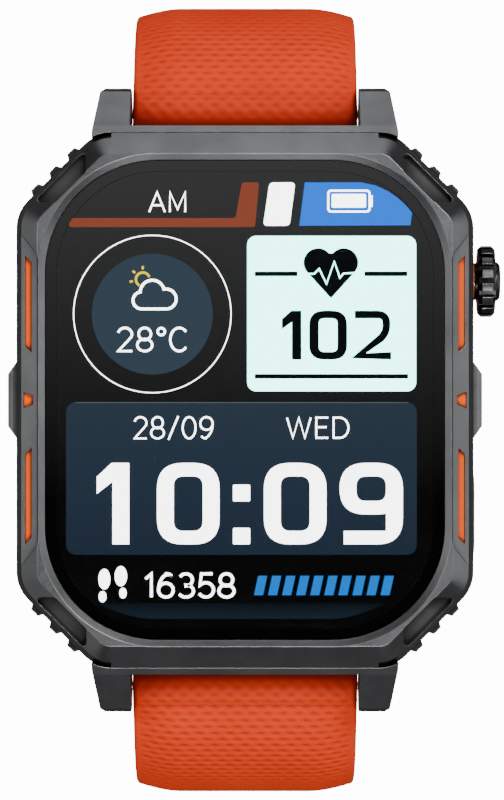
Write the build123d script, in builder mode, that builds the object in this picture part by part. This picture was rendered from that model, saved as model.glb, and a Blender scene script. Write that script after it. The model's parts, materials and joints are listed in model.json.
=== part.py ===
"""GPS running watch: octagonal metal case, cover glass, crown, side button and silicone strap.

Frame, millimetres: the origin is the centre of the flat sensor window that touches the wrist,
+Z points out of the cover glass, +Y to twelve o'clock and +X to the crown.
The strap is unbuckled, with both halves curved round the wrist opening.
"""

import os
from math import cos, radians, sin, sqrt, tan

from build123d import *

os.makedirs("parts", exist_ok=True)

# ---------------------------------------------------------------- driving dimensions
# Case outline: a rectangle with its corners cut at 45 degrees and its eight vertices rounded
case_width = 41.1
case_length = 48.0
corner_leg = 7.1
corner_round = 3.5

# Heights above the wrist
cover_bottom = 0.9
case_bottom = 2.4
case_top = 9.4
bezel_top = 13.0

# Bezel section from the outside in: wall, steep bevel, sloping band, lip round the glass
bevel_width = 0.5
bevel_bottom = 10.4
band_bottom = 11.6
band_width = 1.5
lip_width = 0.6
lip_drop = 0.35

# Side panels of the bezel and their accent lines
panel_inset = 1.95
panel_wall_slope = 0.15
panel_inner_height = 12.3
panel_length_outer = 29.6
panel_length_inner = 25.8
panel_end_round = 1.6
accent_inset = 0.86
accent_width = 0.57
accent_start = 4.6
accent_end = 12.6
accent_slant = 0.3
mark_length = 1.4
mark_width = 0.85
groove_depth = 0.5
accent_height = 0.38
accent_clearance = 0.02

# Pockets in the cut corners
pocket_inset = 0.53
pocket_width = 1.5
pocket_length_outer = 6.9
pocket_length_inner = 3.9
pocket_round = 0.35
pocket_floor = 10.9

# Glass and display
glass_side_inset = 2.725
glass_end_inset = 2.6
glass_round = 10.1
glass_thickness = 1.2
glass_gap = 0.05
glass_below_top = 0.4
glass_bevel = 0.25
ledge_width = 0.9
adhesive_thickness = 0.15
display_margin = 0.4
display_thickness = 0.9
display_gap = 0.1

# Middle case
case_inset = 0.2
side_wall = 1.8
end_wall = 1.9
cavity_corner_leg = 9.2
cavity_round = 1.5
cavity_fit = 0.15
frame_seat = 8.5
frame_seat_width = 0.7
gasket_depth = 0.5
gasket_width = 0.45
case_edge_bevel = 0.35

# Lugs and spring bars
strap_width = 20.5
lug_clearance = 0.1
lug_reach = 4.5
lug_width_root = 3.42
lug_width_tip = 2.8
rim_reach = 0.9
rim_top = 11.05
rim_drop = 0.55
rim_gap = 0.03
rim_root_depth = 0.6
lug_tip_top = 7.4
bar_from_case = 2.35
bar_height = 3.9
bar_radius = 0.75
pin_radius = 0.4
pin_reach = 1.1
release_travel = 1.0
knob_x = 6.0
knob_radius = 0.5
knob_reach = 0.6
running_clearance = 0.05

# Strap
strap_thickness = 3.0
strap_edge_width = 3.25
strap_edge_drop = 0.85
strap_edge_round = 0.5
tip_spread = 0.4
tip_length = 24.68
barrel_radius = 1.95
strap_start_angle = 22.0
bend_radius = 15.2
lean_angle = 12.0
lean_radius = 50.0
buckle_side_straight = 38.0
tip_side_straight = 36.0
curl_radius = 34.0
curl_angle = 72.0
tip_straight = 12.0
hole_count = 11
hole_pitch = 5.6
hole_width = 2.6
hole_length = 3.2
hole_round = 0.9
first_hole = 22.0

# Keepers and buckle
keeper_width = 5.6
keeper_wall = 1.1
keeper_clearance = 0.15
keeper_room = 3.3
keeper_inner_round = 0.4
fixed_keeper_place = 26.5
keeper_spacing = 0.4
buckle_bar_radius = 0.7
buckle_barrel_radius = 1.9
buckle_arm_width = 1.9
buckle_arm_gap = 0.4
buckle_thickness = 2.5
buckle_reach = 13.0
buckle_crossbar = 3.0
tongue_width = 2.1
tongue_thickness = 1.3
tongue_clearance = 0.3
tongue_slot_length = 4.5

# Crown, on the +X side
control_height = 5.6
crown_y = 10.8
crown_radius = 3.25
crown_thickness = 1.55
crown_edge = 0.3
crown_cap_radius = 1.8
crown_cap_proud = 0.5
crown_notches = 16
notch_width = 0.55
notch_depth = 0.45
crown_gap = 0.45
crown_boss = 0.3
crown_travel = 0.35
stem_radius = 0.9
stem_length = 5.75
tube_radius = 1.9
tube_length = 3.45
accent_ring_radius = 3.0
accent_ring_thickness = 0.35

# Button, on the +X side
button_y = -10.4
button_length = 7.5
button_height = 2.85
button_proud = 0.5
button_thickness = 1.45
button_travel = 0.35
button_clearance = 0.06
plunger_radius = 0.7
plunger_length = 3.2
button_wall_inner = 3.2
button_wall_outer = 1.75

# Side guards and corner grips
guard_base = 7.75
guard_flat = 4.7
guard_proud = 1.12
guard_depth = 0.4
guard_height = 5.6
grip_pitch = 2.3
grip_base = 1.7
grip_top = 0.87
grip_proud = 0.75
grip_plate = 7.2
grip_depth = 0.5
grip_height = 5.8

# Rear cover and heart-rate sensor
cover_inset = 0.45
cover_bevel = 0.5
cover_bevel_height = 0.5
dome_radius = 13.4
dome_top_radius = 10.6
dome_bottom = 0.3
window_radius = 8.0
window_flange = 0.85
window_thickness = 1.0
contact_pitch = 2.54
contact_radius = 0.85
contact_y = -15.6

# Fasteners
screw_inset = 2.1
screw_radius = 0.8
screw_head_radius = 1.0
screw_head_height = 0.7
screw_top = 10.6
board_screw_radius = 0.5
board_screw_side_inset = 10.05
board_screw_end_inset = 7.5

# Inside
board_thickness = 0.8
battery_side_room = 17.1
battery_end_room = 24.0
battery_thickness = 3.6
battery_x = -0.5
battery_bottom = 2.7
chip_height = 0.9
shield_wall = 0.15

# ---------------------------------------------------------------- derived places
half_width = case_width / 2
half_length = case_length / 2
glass_width = case_width - 2 * glass_side_inset
glass_length = case_length - 2 * glass_end_inset
glass_top = bezel_top - glass_below_top
glass_bottom = glass_top - glass_thickness
ledge_height = glass_bottom - adhesive_thickness
display_bottom = glass_bottom - display_gap - display_thickness
body_side = half_width - case_inset
body_end = half_length - case_inset
cavity_side = body_side - side_wall
cavity_end = body_end - end_wall
bar_y = body_end + bar_from_case
lug_inner = strap_width / 2 + lug_clearance
octagon_shrink = 2 - sqrt(2)
band_slope = (bezel_top - band_bottom) / band_width
end_flat = half_width - corner_leg - corner_round * tan(radians(22.5))
corner_angles = (45, 135, 225, 315)
board_top = frame_seat
board_screw_x = half_width - board_screw_side_inset
board_screw_y = half_length - board_screw_end_inset
battery_width = case_width - battery_side_room
battery_length = case_length - battery_end_room
free_keeper_place = fixed_keeper_place - keeper_width - keeper_spacing
board_bottom = board_top - board_thickness
screw_x = half_width - corner_leg / 2 - screw_inset / sqrt(2)
screw_y = half_length - corner_leg / 2 - screw_inset / sqrt(2)
four_ways = ((1, 1), (-1, 1), (-1, -1), (1, -1))


def save(piece, label):
    """Labels a finished piece and writes it as its own STEP file."""
    piece.part.label = label
    export_step(piece.part, f"parts/{label}.step")


# ---------------------------------------------------------------- shared outlines
def octagon(inset, height):
    """The case outline moved inward, drawn flat at a height."""
    with BuildSketch(Plane.XY.offset(height)) as outline:
        Rectangle(case_width - 2 * inset, case_length - 2 * inset)
        chamfer(outline.vertices(), corner_leg - octagon_shrink * inset)
        fillet(outline.vertices(), corner_round - inset)
    return outline.sketch


def cavity(outset, height):
    """The outline of the space inside the case, moved outward."""
    with BuildSketch(Plane.XY.offset(height)) as outline:
        Rectangle(2 * (cavity_side + outset), 2 * (cavity_end + outset))
        chamfer(outline.vertices(), cavity_corner_leg + octagon_shrink * outset)
        fillet(outline.vertices(), cavity_round)
    return outline.sketch


def cavity_ring(inner, outer, height):
    """A band round the inside space, between two outsets."""
    with BuildSketch(Plane.XY.offset(height)) as ring:
        add(cavity(outer, height))
        add(cavity(inner, height), mode=Mode.SUBTRACT)
    return ring.sketch


def glass_outline(outset, height):
    """The cover glass outline moved outward."""
    with BuildSketch(Plane.XY.offset(height)) as outline:
        RectangleRounded(glass_width + 2 * outset, glass_length + 2 * outset, glass_round + outset)
    return outline.sketch


def corner_plane(angle, height):
    """A plane at the middle of a cut corner: local Y points outward and local X runs along it."""
    outward = Vector(cos(radians(angle)), sin(radians(angle)), 0)
    side = 1 if outward.X > 0 else -1
    end = 1 if outward.Y > 0 else -1
    middle = (side * (half_width - corner_leg / 2), end * (half_length - corner_leg / 2), height)
    return Plane(origin=middle, x_dir=(outward.Y, -outward.X, 0), z_dir=(0, 0, 1))


def disc(x, y, radius, bore=0):
    """A round section of a control, square to +X."""
    with BuildSketch(Plane.YZ.offset(x)) as section:
        with Locations((y, control_height)):
            Circle(radius)
            if bore:
                Circle(bore, mode=Mode.SUBTRACT)
    return section.sketch


def pill(x, grow):
    """The button's outline, square to +X."""
    with BuildSketch(Plane.YZ.offset(x)) as section:
        with Locations((button_y, control_height)):
            SlotOverall(button_length + 2 * grow, button_height + 2 * grow)
    return section.sketch


def coil(start, radius, wire, length, turns):
    """A compression spring that runs from start along +X."""
    rise = length - 2 * wire
    with BuildPart() as spring:
        with BuildLine() as line:
            Helix(rise / turns, rise, radius, center=start + Vector(wire, 0, 0), direction=(1, 0, 0))
        with BuildSketch(Plane(origin=line.line @ 0, z_dir=line.line % 0)):
            Circle(wire)
        sweep(path=line.line, is_frenet=True)
    return spring


# ---------------------------------------------------------------- bezel
def panel_cutter():
    """What is cut from the band beside the glass to leave the +X side panel."""
    wall_foot = half_width - panel_inset
    outer = half_width - bevel_width
    with BuildPart() as cutter:
        with BuildSketch(Plane.XY.offset(bevel_bottom)):
            with BuildLine():
                Polyline(
                    (wall_foot - panel_wall_slope, -panel_length_inner / 2),
                    (outer, -panel_length_outer / 2),
                    (outer + 2, -panel_length_outer / 2 - 1),
                    (outer + 2, panel_length_outer / 2 + 1),
                    (outer, panel_length_outer / 2),
                    (wall_foot - panel_wall_slope, panel_length_inner / 2),
                    close=True,
                )
            plan = make_face()
            fillet(plan.vertices().group_by(Axis.X)[0], panel_end_round)
        extrude(amount=bezel_top - bevel_bottom + 1)
        with BuildSketch(Plane.XZ) as section:
            Polygon(
                (wall_foot - panel_wall_slope, bezel_top + 1),
                (wall_foot - panel_wall_slope, bezel_top),
                (wall_foot, panel_inner_height),
                (outer, band_bottom),
                (outer + 2, band_bottom),
                (outer + 2, bezel_top + 1),
                align=None,
            )
        extrude(amount=panel_length_outer, both=True, mode=Mode.INTERSECT)
    return cutter.part


def accent_plan(grow):
    """Plan of the three accent lines on the +X panel, grown by a clearance."""
    outer = half_width - accent_inset + grow
    inner = half_width - accent_inset - accent_width - grow
    mark_middle = half_width - accent_inset - accent_width / 2
    with BuildSketch(Plane.XY.offset(band_bottom - groove_depth)) as plan:
        for side in (-1, 1):
            Polygon(
                (inner, side * (accent_start - accent_slant - grow)),
                (outer, side * (accent_start + accent_slant - grow)),
                (outer, side * (accent_end + accent_slant + grow)),
                (inner, side * (accent_end - accent_slant + grow)),
                align=None,
            )
        Polygon(
            (mark_middle - mark_width / 2 - grow, -mark_length / 4 - grow),
            (mark_middle + mark_width / 2 + grow, -mark_length / 2 - grow),
            (mark_middle + mark_width / 2 + grow, mark_length / 2 + grow),
            (mark_middle - mark_width / 2 - grow, mark_length / 4 + grow),
            align=None,
        )
    return plan.sketch


def pocket_plan(angle):
    """Plan of the pocket in one cut corner."""
    with BuildSketch(corner_plane(angle, pocket_floor)) as pocket:
        Polygon(
            (-pocket_length_outer / 2, -pocket_inset),
            (pocket_length_outer / 2, -pocket_inset),
            (pocket_length_inner / 2, -pocket_inset - pocket_width),
            (-pocket_length_inner / 2, -pocket_inset - pocket_width),
            align=None,
        )
        fillet(pocket.vertices(), pocket_round)
    return pocket.sketch


with BuildPart() as bezel:
    extrude(octagon(0, case_top), amount=bevel_bottom - case_top)
    loft([octagon(0, bevel_bottom), octagon(bevel_width, band_bottom)], ruled=True)
    loft(
        [octagon(bevel_width, band_bottom), octagon(bevel_width + band_width, bezel_top)],
        ruled=True,
    )
    # At each end the band runs on down to the wall, where it meets the rim of the middle case
    with BuildSketch(Plane.YZ):
        Polygon(
            (half_length - bevel_width - band_width, bevel_bottom),
            (half_length, bevel_bottom),
            (half_length, band_bottom - bevel_width * band_slope),
            (half_length - bevel_width - band_width, bezel_top),
            align=None,
        )
    extrude(amount=end_flat, both=True)
    mirror(about=Plane.XZ)
    # Opening for the display, the seat of the glass and the lip's inward slope
    extrude(glass_outline(-ledge_width, case_top), amount=bezel_top, mode=Mode.SUBTRACT)
    extrude(glass_outline(glass_gap, ledge_height), amount=bezel_top, mode=Mode.SUBTRACT)
    loft(
        [
            glass_outline(glass_gap, bezel_top - lip_drop),
            glass_outline(glass_gap + lip_width, bezel_top),
        ],
        ruled=True,
        mode=Mode.SUBTRACT,
    )
    # Side panels, then the grooves for the accent lines
    panel = panel_cutter()
    grooves = extrude(accent_plan(accent_clearance), amount=bezel_top, mode=Mode.PRIVATE)
    for cutter in (panel, grooves):
        add(cutter, mode=Mode.SUBTRACT)
        add(cutter.mirror(Plane.YZ), mode=Mode.SUBTRACT)
    for angle in corner_angles:
        extrude(pocket_plan(angle), amount=bezel_top, mode=Mode.SUBTRACT)
    # Blind threads for the long case screws
    with BuildSketch(Plane.XY.offset(case_top)):
        with Locations(*((x * screw_x, y * screw_y) for x, y in four_ways)):
            Circle(screw_radius)
    extrude(amount=screw_top - case_top, mode=Mode.SUBTRACT)
save(bezel, "bezel")

with BuildPart() as bezel_accents:
    extrude(accent_plan(0), amount=accent_height)
    mirror(about=Plane.YZ)
save(bezel_accents, "bezel_accents")

# ---------------------------------------------------------------- glass, display, inner frame
with BuildPart() as cover_glass:
    extrude(glass_outline(0, glass_bottom), amount=glass_thickness)
    chamfer(cover_glass.faces().sort_by(Axis.Z)[-1].edges(), glass_bevel)
save(cover_glass, "cover_glass")

with BuildPart() as glass_adhesive:
    extrude(glass_outline(-glass_gap, ledge_height), amount=adhesive_thickness)
    extrude(
        glass_outline(-ledge_width, ledge_height), amount=adhesive_thickness, mode=Mode.SUBTRACT
    )
save(glass_adhesive, "glass_adhesive")

with BuildPart() as display_panel:
    extrude(glass_outline(-ledge_width - display_margin, display_bottom), amount=display_thickness)
save(display_panel, "display_panel")

flex_half_width = 5.0
flex_y = -17.8
flex_thickness = 0.15
with BuildPart() as display_flex:
    with BuildSketch(Plane.YZ.offset(-flex_half_width)):
        with BuildLine():
            Polyline(
                (flex_y, board_top),
                (flex_y + 0.6, board_top),
                (flex_y + 0.6, board_top + flex_thickness),
                (flex_y + flex_thickness, board_top + flex_thickness),
                (flex_y + flex_thickness, display_bottom - flex_thickness),
                (flex_y + 4, display_bottom - flex_thickness),
                (flex_y + 4, display_bottom),
                (flex_y, display_bottom),
                close=True,
            )
        make_face()
    extrude(amount=2 * flex_half_width)
save(display_flex, "display_flex")

frame_top = display_bottom - 0.2
with BuildPart() as inner_frame:
    extrude(cavity(frame_seat_width - 0.05, frame_seat), amount=case_top - frame_seat)
    extrude(glass_outline(-ledge_width - cavity_fit, case_top), amount=frame_top - case_top)
    with BuildSketch(Plane.XY.offset(frame_seat)):
        with Locations((0, flex_y)):
            Rectangle(2 * flex_half_width + 1, 1.4)
        with Locations((0, 2)):
            RectangleRounded(20, 24, 2)
    extrude(amount=frame_top, mode=Mode.SUBTRACT)
    with BuildSketch(Plane.XY.offset(frame_seat)):
        with Locations(*((x * board_screw_x, y * board_screw_y) for x, y in four_ways)):
            Circle(board_screw_radius)
    extrude(amount=1.2, mode=Mode.SUBTRACT)
save(inner_frame, "inner_frame")

# ---------------------------------------------------------------- middle case with lugs
lug_root_y = body_end - end_wall / 2
rim_bottom = bar_height + barrel_radius + 0.6
rim_root_y = half_length + rim_gap - rim_root_depth
rim_root_top = rim_top + rim_root_depth * rim_drop / (rim_reach - case_inset - rim_gap)
lug_tip_y = body_end + lug_reach

with BuildPart() as lug:
    with BuildSketch(Plane.YZ.offset(lug_inner)):
        with BuildLine():
            Polyline(
                (lug_root_y, case_bottom),
                (body_end, case_bottom),
                (body_end + 2.9, case_bottom - 0.2),
                (lug_tip_y, case_bottom + 0.8),
                (lug_tip_y, lug_tip_top - 0.6),
                (lug_tip_y - 0.3, lug_tip_top),
                (body_end + rim_reach, rim_top - rim_drop),
                (rim_root_y, rim_root_top),
                (rim_root_y, case_top - 0.3),
                (lug_root_y, case_top - 0.3),
                close=True,
            )
        make_face()
    extrude(amount=lug_width_root)
    with BuildSketch(Plane.XY):
        Polygon(
            (lug_inner, lug_root_y),
            (lug_inner + lug_width_root, lug_root_y),
            (lug_inner + lug_width_root, body_end + 0.4),
            (lug_inner + lug_width_tip, lug_tip_y - 0.35),
            (lug_inner + lug_width_tip - 0.45, lug_tip_y),
            (lug_inner, lug_tip_y),
            align=None,
        )
    extrude(amount=bezel_top, mode=Mode.INTERSECT)

with BuildPart() as grip:
    with BuildSketch(Plane.XY.offset(case_top - 0.4 - grip_height)):
        with Locations((0, -case_inset - grip_depth / 2)):
            Rectangle(grip_plate, grip_depth)
        for place in (-grip_pitch, 0, grip_pitch):
            Polygon(
                (place - grip_base / 2, -case_inset),
                (place + grip_base / 2, -case_inset),
                (place + grip_top / 2, grip_proud - case_inset),
                (place - grip_top / 2, grip_proud - case_inset),
                align=None,
            )
    extrude(amount=grip_height)
    chamfer(grip.faces().sort_by(Axis.Z)[-1].edges().sort_by(Axis.Y)[-7:], 0.12)

guard_bottom = control_height - guard_height / 2
with BuildPart() as guard:
    with BuildSketch(Plane.XY.offset(guard_bottom)):
        Polygon(
            (body_side - guard_depth, -guard_base / 2),
            (body_side, -guard_base / 2),
            (body_side + guard_proud, -guard_flat / 2),
            (body_side + guard_proud, guard_flat / 2),
            (body_side, guard_base / 2),
            (body_side - guard_depth, guard_base / 2),
            align=None,
        )
    extrude(amount=guard_height)
    chamfer(guard.edges().filter_by(Axis.Y).sort_by(Axis.X)[-2:], 0.4)

with BuildPart() as mid_case:
    extrude(octagon(case_inset, case_bottom), amount=case_top - case_bottom)
    chamfer(mid_case.faces().sort_by(Axis.Z)[0].edges(), case_edge_bevel)
    # The rims that reach past the bezel above each strap end
    with BuildSketch(Plane.YZ):
        Polygon(
            (lug_root_y, case_top - 0.3),
            (rim_root_y, case_top - 0.3),
            (rim_root_y, rim_root_top),
            (body_end + rim_reach, rim_top - rim_drop),
            (body_end + rim_reach, case_top - 0.5),
            (body_end + rim_reach - 0.6, rim_bottom),
            (lug_root_y, rim_bottom),
            align=None,
        )
    extrude(amount=lug_inner + 0.5, both=True)
    add(lug.part)
    add(lug.part.mirror(Plane.YZ))
    mirror(about=Plane.XZ)
    # The bezel's wall stands inside the rims
    extrude(octagon(-rim_gap, case_top), amount=bezel_top, mode=Mode.SUBTRACT)
    # Inside space, seat of the inner frame, gasket grooves
    extrude(cavity(0, case_bottom), amount=case_top, mode=Mode.SUBTRACT)
    extrude(cavity(frame_seat_width, frame_seat), amount=case_top, mode=Mode.SUBTRACT)
    extrude(
        cavity_ring(gasket_width, 2 * gasket_width, case_bottom),
        amount=gasket_depth,
        mode=Mode.SUBTRACT,
    )
    extrude(
        cavity_ring(frame_seat_width + 0.3, frame_seat_width + 0.7, case_top - gasket_depth),
        amount=gasket_depth,
        mode=Mode.SUBTRACT,
    )
    # Thicker wall behind the button, then the button's recess and bore and the crown's bore
    extrude(pill(body_side - button_wall_inner, 0.6), amount=button_wall_inner - side_wall + 0.2)
    extrude(pill(body_side - button_wall_outer, button_clearance), amount=5, mode=Mode.SUBTRACT)
    extrude(
        disc(body_side - button_wall_inner - 1, button_y, plunger_radius + running_clearance),
        amount=5,
        mode=Mode.SUBTRACT,
    )
    extrude(disc(body_side - 5, crown_y, tube_radius), amount=6, mode=Mode.SUBTRACT)
    # Long case screws
    with BuildSketch(Plane.XY):
        with Locations(*((x * screw_x, y * screw_y) for x, y in four_ways)):
            Circle(screw_radius + running_clearance)
    extrude(amount=case_top + 1, mode=Mode.SUBTRACT)
    # Holes in the lugs for the spring bar pins
    for end in (-1, 1):
        with BuildSketch(Plane.YZ):
            with Locations((end * bar_y, bar_height)):
                Circle(pin_radius + running_clearance)
        extrude(amount=lug_inner + pin_reach + 0.3, both=True, mode=Mode.SUBTRACT)
    # Seats of the guards and the corner grips
    with BuildSketch(Plane.XY.offset(guard_bottom)):
        for side in (-1, 1):
            with Locations((side * body_side, 0)):
                Rectangle(2 * guard_depth, guard_base)
    extrude(amount=guard_height, mode=Mode.SUBTRACT)
    for angle in corner_angles:
        with BuildSketch(corner_plane(angle, case_top - 0.4 - grip_height)):
            with Locations((0, -case_inset)):
                Rectangle(grip_plate, 2 * grip_depth)
        extrude(amount=grip_height, mode=Mode.SUBTRACT)
save(mid_case, "mid_case")

with BuildPart() as side_guards:
    add(guard.part)
    mirror(about=Plane.YZ)
save(side_guards, "side_guards")

with BuildPart() as corner_grips:
    for angle in corner_angles:
        add(corner_plane(angle, 0).location * grip.part)
save(corner_grips, "corner_grips")

with BuildPart() as bezel_gasket:
    extrude(
        cavity_ring(frame_seat_width + 0.32, frame_seat_width + 0.68, case_top - gasket_depth),
        amount=gasket_depth,
    )
save(bezel_gasket, "bezel_gasket")

with BuildPart() as rear_gasket:
    extrude(
        cavity_ring(gasket_width + 0.02, 2 * gasket_width - 0.02, case_bottom), amount=gasket_depth
    )
save(rear_gasket, "rear_gasket")

# ---------------------------------------------------------------- rear cover and sensor
with BuildPart() as rear_cover:
    loft(
        [
            octagon(cover_inset + cover_bevel, cover_bottom),
            octagon(cover_inset, cover_bottom + cover_bevel_height),
        ],
        ruled=True,
    )
    extrude(
        octagon(cover_inset, cover_bottom + cover_bevel_height),
        amount=case_bottom - cover_bottom - cover_bevel_height,
    )
    with BuildSketch(Plane.XY.offset(cover_bottom)):
        Circle(dome_radius)
    with BuildSketch(Plane.XY.offset(dome_bottom)):
        Circle(dome_top_radius)
    loft()
    with BuildSketch(Plane.XY):
        Circle(window_radius + running_clearance)
    extrude(amount=window_thickness, mode=Mode.SUBTRACT)
    with BuildSketch(Plane.XY.offset(window_thickness)):
        Circle(window_radius + window_flange + running_clearance)
    extrude(amount=case_bottom, mode=Mode.SUBTRACT)
    with BuildSketch(Plane.XY):
        with Locations((0, contact_y)):
            with GridLocations(contact_pitch, 1, 4, 1):
                Circle(contact_radius)
    extrude(amount=case_bottom, mode=Mode.SUBTRACT)
    with Locations(*((x * screw_x, y * screw_y, cover_bottom) for x, y in four_ways)):
        with Locations(Rotation(180, 0, 0)):
            CounterBoreHole(
                screw_radius + running_clearance,
                screw_head_radius + running_clearance,
                screw_head_height + 0.2,
            )
save(rear_cover, "rear_cover")

with BuildPart() as sensor_window:
    with BuildSketch(Plane.XY):
        Circle(window_radius)
    extrude(amount=window_thickness)
    with BuildSketch(Plane.XY.offset(window_thickness)):
        Circle(window_radius + window_flange)
    extrude(amount=0.25)
save(sensor_window, "sensor_window")

sensor_board_bottom = window_thickness + 0.75
with BuildPart() as sensor_board:
    with BuildSketch(Plane.XY.offset(sensor_board_bottom)):
        Circle(window_radius + 0.5)
    extrude(amount=0.6)
save(sensor_board, "sensor_board")

with BuildPart() as sensor_leds:
    with BuildSketch(Plane.XY.offset(sensor_board_bottom - 0.45)):
        Rectangle(2.4, 2.4)
        with PolarLocations(4.6, 4, start_angle=45):
            Rectangle(1.6, 1.6)
        with PolarLocations(5.2, 2):
            Rectangle(2.0, 2.6)
    extrude(amount=0.45)
save(sensor_leds, "sensor_leds")

with BuildPart() as charging_contacts:
    with BuildSketch(Plane.XY.offset(cover_bottom - 0.05)):
        with Locations((0, contact_y)):
            with GridLocations(contact_pitch, 1, 4, 1):
                Circle(contact_radius)
    extrude(amount=case_bottom - cover_bottom + 0.1)
    fillet(charging_contacts.faces().group_by(Axis.Z)[0].edges(), 0.12)
save(charging_contacts, "charging_contacts")

with BuildPart() as case_screws:
    with BuildSketch(Plane.XY.offset(cover_bottom + 0.2)):
        with Locations(*((x * screw_x, y * screw_y) for x, y in four_ways)):
            Circle(screw_head_radius)
    extrude(amount=screw_head_height)
    with BuildSketch(Plane.XY.offset(cover_bottom + 0.2)):
        with Locations(*((x * screw_x, y * screw_y) for x, y in four_ways)):
            Circle(screw_radius)
    extrude(amount=screw_top - 0.1 - cover_bottom - 0.2)
    with BuildSketch(Plane.XY.offset(cover_bottom + 0.2)):
        with Locations(*((x * screw_x, y * screw_y) for x, y in four_ways)):
            RegularPolygon(0.55, 6)
    extrude(amount=0.5, mode=Mode.SUBTRACT)
save(case_screws, "case_screws")

# ---------------------------------------------------------------- electronics
with BuildPart() as main_board:
    extrude(cavity(-0.5, board_bottom), amount=board_thickness)
    with BuildSketch(Plane.XY.offset(board_bottom)):
        with Locations(*((x * board_screw_x, y * board_screw_y) for x, y in four_ways)):
            Circle(board_screw_radius + running_clearance)
    extrude(amount=board_thickness, mode=Mode.SUBTRACT)
save(main_board, "main_board")

with BuildPart() as board_screws:
    with BuildSketch(Plane.XY.offset(board_bottom - 0.6)):
        with Locations(*((x * board_screw_x, y * board_screw_y) for x, y in four_ways)):
            Circle(2 * board_screw_radius)
    extrude(amount=0.6)
    with BuildSketch(Plane.XY.offset(board_bottom)):
        with Locations(*((x * board_screw_x, y * board_screw_y) for x, y in four_ways)):
            Circle(board_screw_radius)
    extrude(amount=board_thickness + 1.1)
save(board_screws, "board_screws")

shield_x = -6.0
shield_y = 4.0
with BuildPart() as board_chips:
    with BuildSketch(Plane.XY.offset(board_bottom - chip_height)):
        with Locations((shield_x - 1.4, shield_y + 1.4)):
            Rectangle(6, 6)
        with Locations((shield_x + 3.3, shield_y)):
            Rectangle(2.4, 4)
        with Locations((5, 5)):
            Rectangle(5, 6)
        with Locations((5, -5)):
            Rectangle(4, 4)
        with Locations((-5, -6.5)):
            Rectangle(5, 4.5)
    extrude(amount=chip_height)
save(board_chips, "board_chips")

with BuildPart() as board_shield:
    with BuildSketch(Plane.XY.offset(board_bottom - chip_height - 0.3)):
        with Locations((shield_x, shield_y)):
            Rectangle(10, 10)
    extrude(amount=chip_height + 0.3)
    offset(
        amount=-shield_wall, openings=board_shield.faces().sort_by(Axis.Z)[-1]
    )
save(board_shield, "board_shield")

with BuildPart() as battery:
    with BuildSketch(Plane.XY.offset(battery_bottom)):
        with Locations((battery_x, 0)):
            RectangleRounded(battery_width, battery_length, 1.5)
    extrude(amount=battery_thickness)
save(battery, "battery")

with BuildPart() as battery_lead:
    with BuildSketch(Plane.YZ.offset(-2)):
        with BuildLine():
            Polyline(
                (-battery_length / 2, battery_bottom + 2),
                (-battery_length / 2 - 0.5, battery_bottom + 2),
                (-battery_length / 2 - 0.5, board_bottom - 0.3),
                (-battery_length / 2 - 2, board_bottom - 0.3),
                (-battery_length / 2 - 2, board_bottom),
                (-battery_length / 2 - 0.2, board_bottom),
                (-battery_length / 2 - 0.2, battery_bottom + 2.4),
                (-battery_length / 2, battery_bottom + 2.4),
                close=True,
            )
        make_face()
    extrude(amount=4)
save(battery_lead, "battery_lead")

sensor_flex_x = battery_x + battery_width / 2 + 0.9
with BuildPart() as sensor_flex:
    with BuildSketch(Plane.XZ.offset(-2)):
        with BuildLine():
            Polyline(
                (4, sensor_board_bottom + 0.6),
                (6, sensor_board_bottom + 0.6),
                (6, case_bottom + 0.03),
                (sensor_flex_x + flex_thickness, case_bottom + 0.03),
                (sensor_flex_x + flex_thickness, board_bottom),
                (sensor_flex_x, board_bottom),
                (sensor_flex_x, case_bottom + 0.03 + flex_thickness),
                (4, case_bottom + 0.03 + flex_thickness),
                close=True,
            )
        make_face()
    extrude(amount=4)
save(sensor_flex, "sensor_flex")

with BuildPart() as buzzer:
    with BuildSketch(Plane.XY.offset(case_bottom)):
        with Locations((0, 16.9)):
            Circle(4.2)
    extrude(amount=0.25)
    with BuildSketch(Plane.XY.offset(case_bottom + 0.25)):
        with Locations((0, 16.9)):
            Circle(3.2)
    extrude(amount=0.2)
save(buzzer, "buzzer")

with BuildPart() as gps_antenna:
    with BuildSketch(Plane.XY.offset(board_bottom - 3.2)):
        with Locations((0, 18.6)):
            Rectangle(12, 3.6)
    extrude(amount=3.2)
save(gps_antenna, "gps_antenna")

motor_side_inset = 14.55
motor_end_inset = 7.0
motor_x = motor_side_inset - half_width
motor_y = motor_end_inset - half_length
motor_bottom = case_bottom + 0.3
motor_radius = 4.0
motor_height = 2.7
motor_wall = 0.25
motor_axle_radius = 0.4
with BuildPart() as motor_case:
    with BuildSketch(Plane.XY.offset(motor_bottom)):
        with Locations((motor_x, motor_y)):
            Circle(motor_radius)
    extrude(amount=motor_height)
    with BuildSketch(Plane.XY.offset(motor_bottom + motor_wall)):
        with Locations((motor_x, motor_y)):
            Circle(motor_radius - motor_wall)
            Circle(motor_axle_radius, mode=Mode.SUBTRACT)
    extrude(amount=motor_height - 2 * motor_wall, mode=Mode.SUBTRACT)
save(motor_case, "motor_case")

with BuildPart() as motor_rotor:
    with BuildSketch(Plane.XY.offset(motor_bottom + motor_wall + 0.3)):
        with Locations((motor_x, motor_y)):
            Circle(1.1)
        with BuildLine(Plane((motor_x, motor_y))):
            ThreePointArc((3.2, 0), (0, 3.2), (-3.2, 0))
            Line((-3.2, 0), (3.2, 0))
        make_face()
        with Locations((motor_x, motor_y)):
            Circle(motor_axle_radius + running_clearance, mode=Mode.SUBTRACT)
    extrude(amount=motor_height - 2 * motor_wall - 0.6)
save(motor_rotor, "motor_rotor")

# ---------------------------------------------------------------- crown
knob_back = body_side + accent_ring_thickness + crown_gap
knob_front = knob_back + crown_thickness
tube_inner_end = body_side - tube_length
stem_back = knob_front - 0.55 - stem_length
cup_back = stem_back - 0.35

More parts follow.
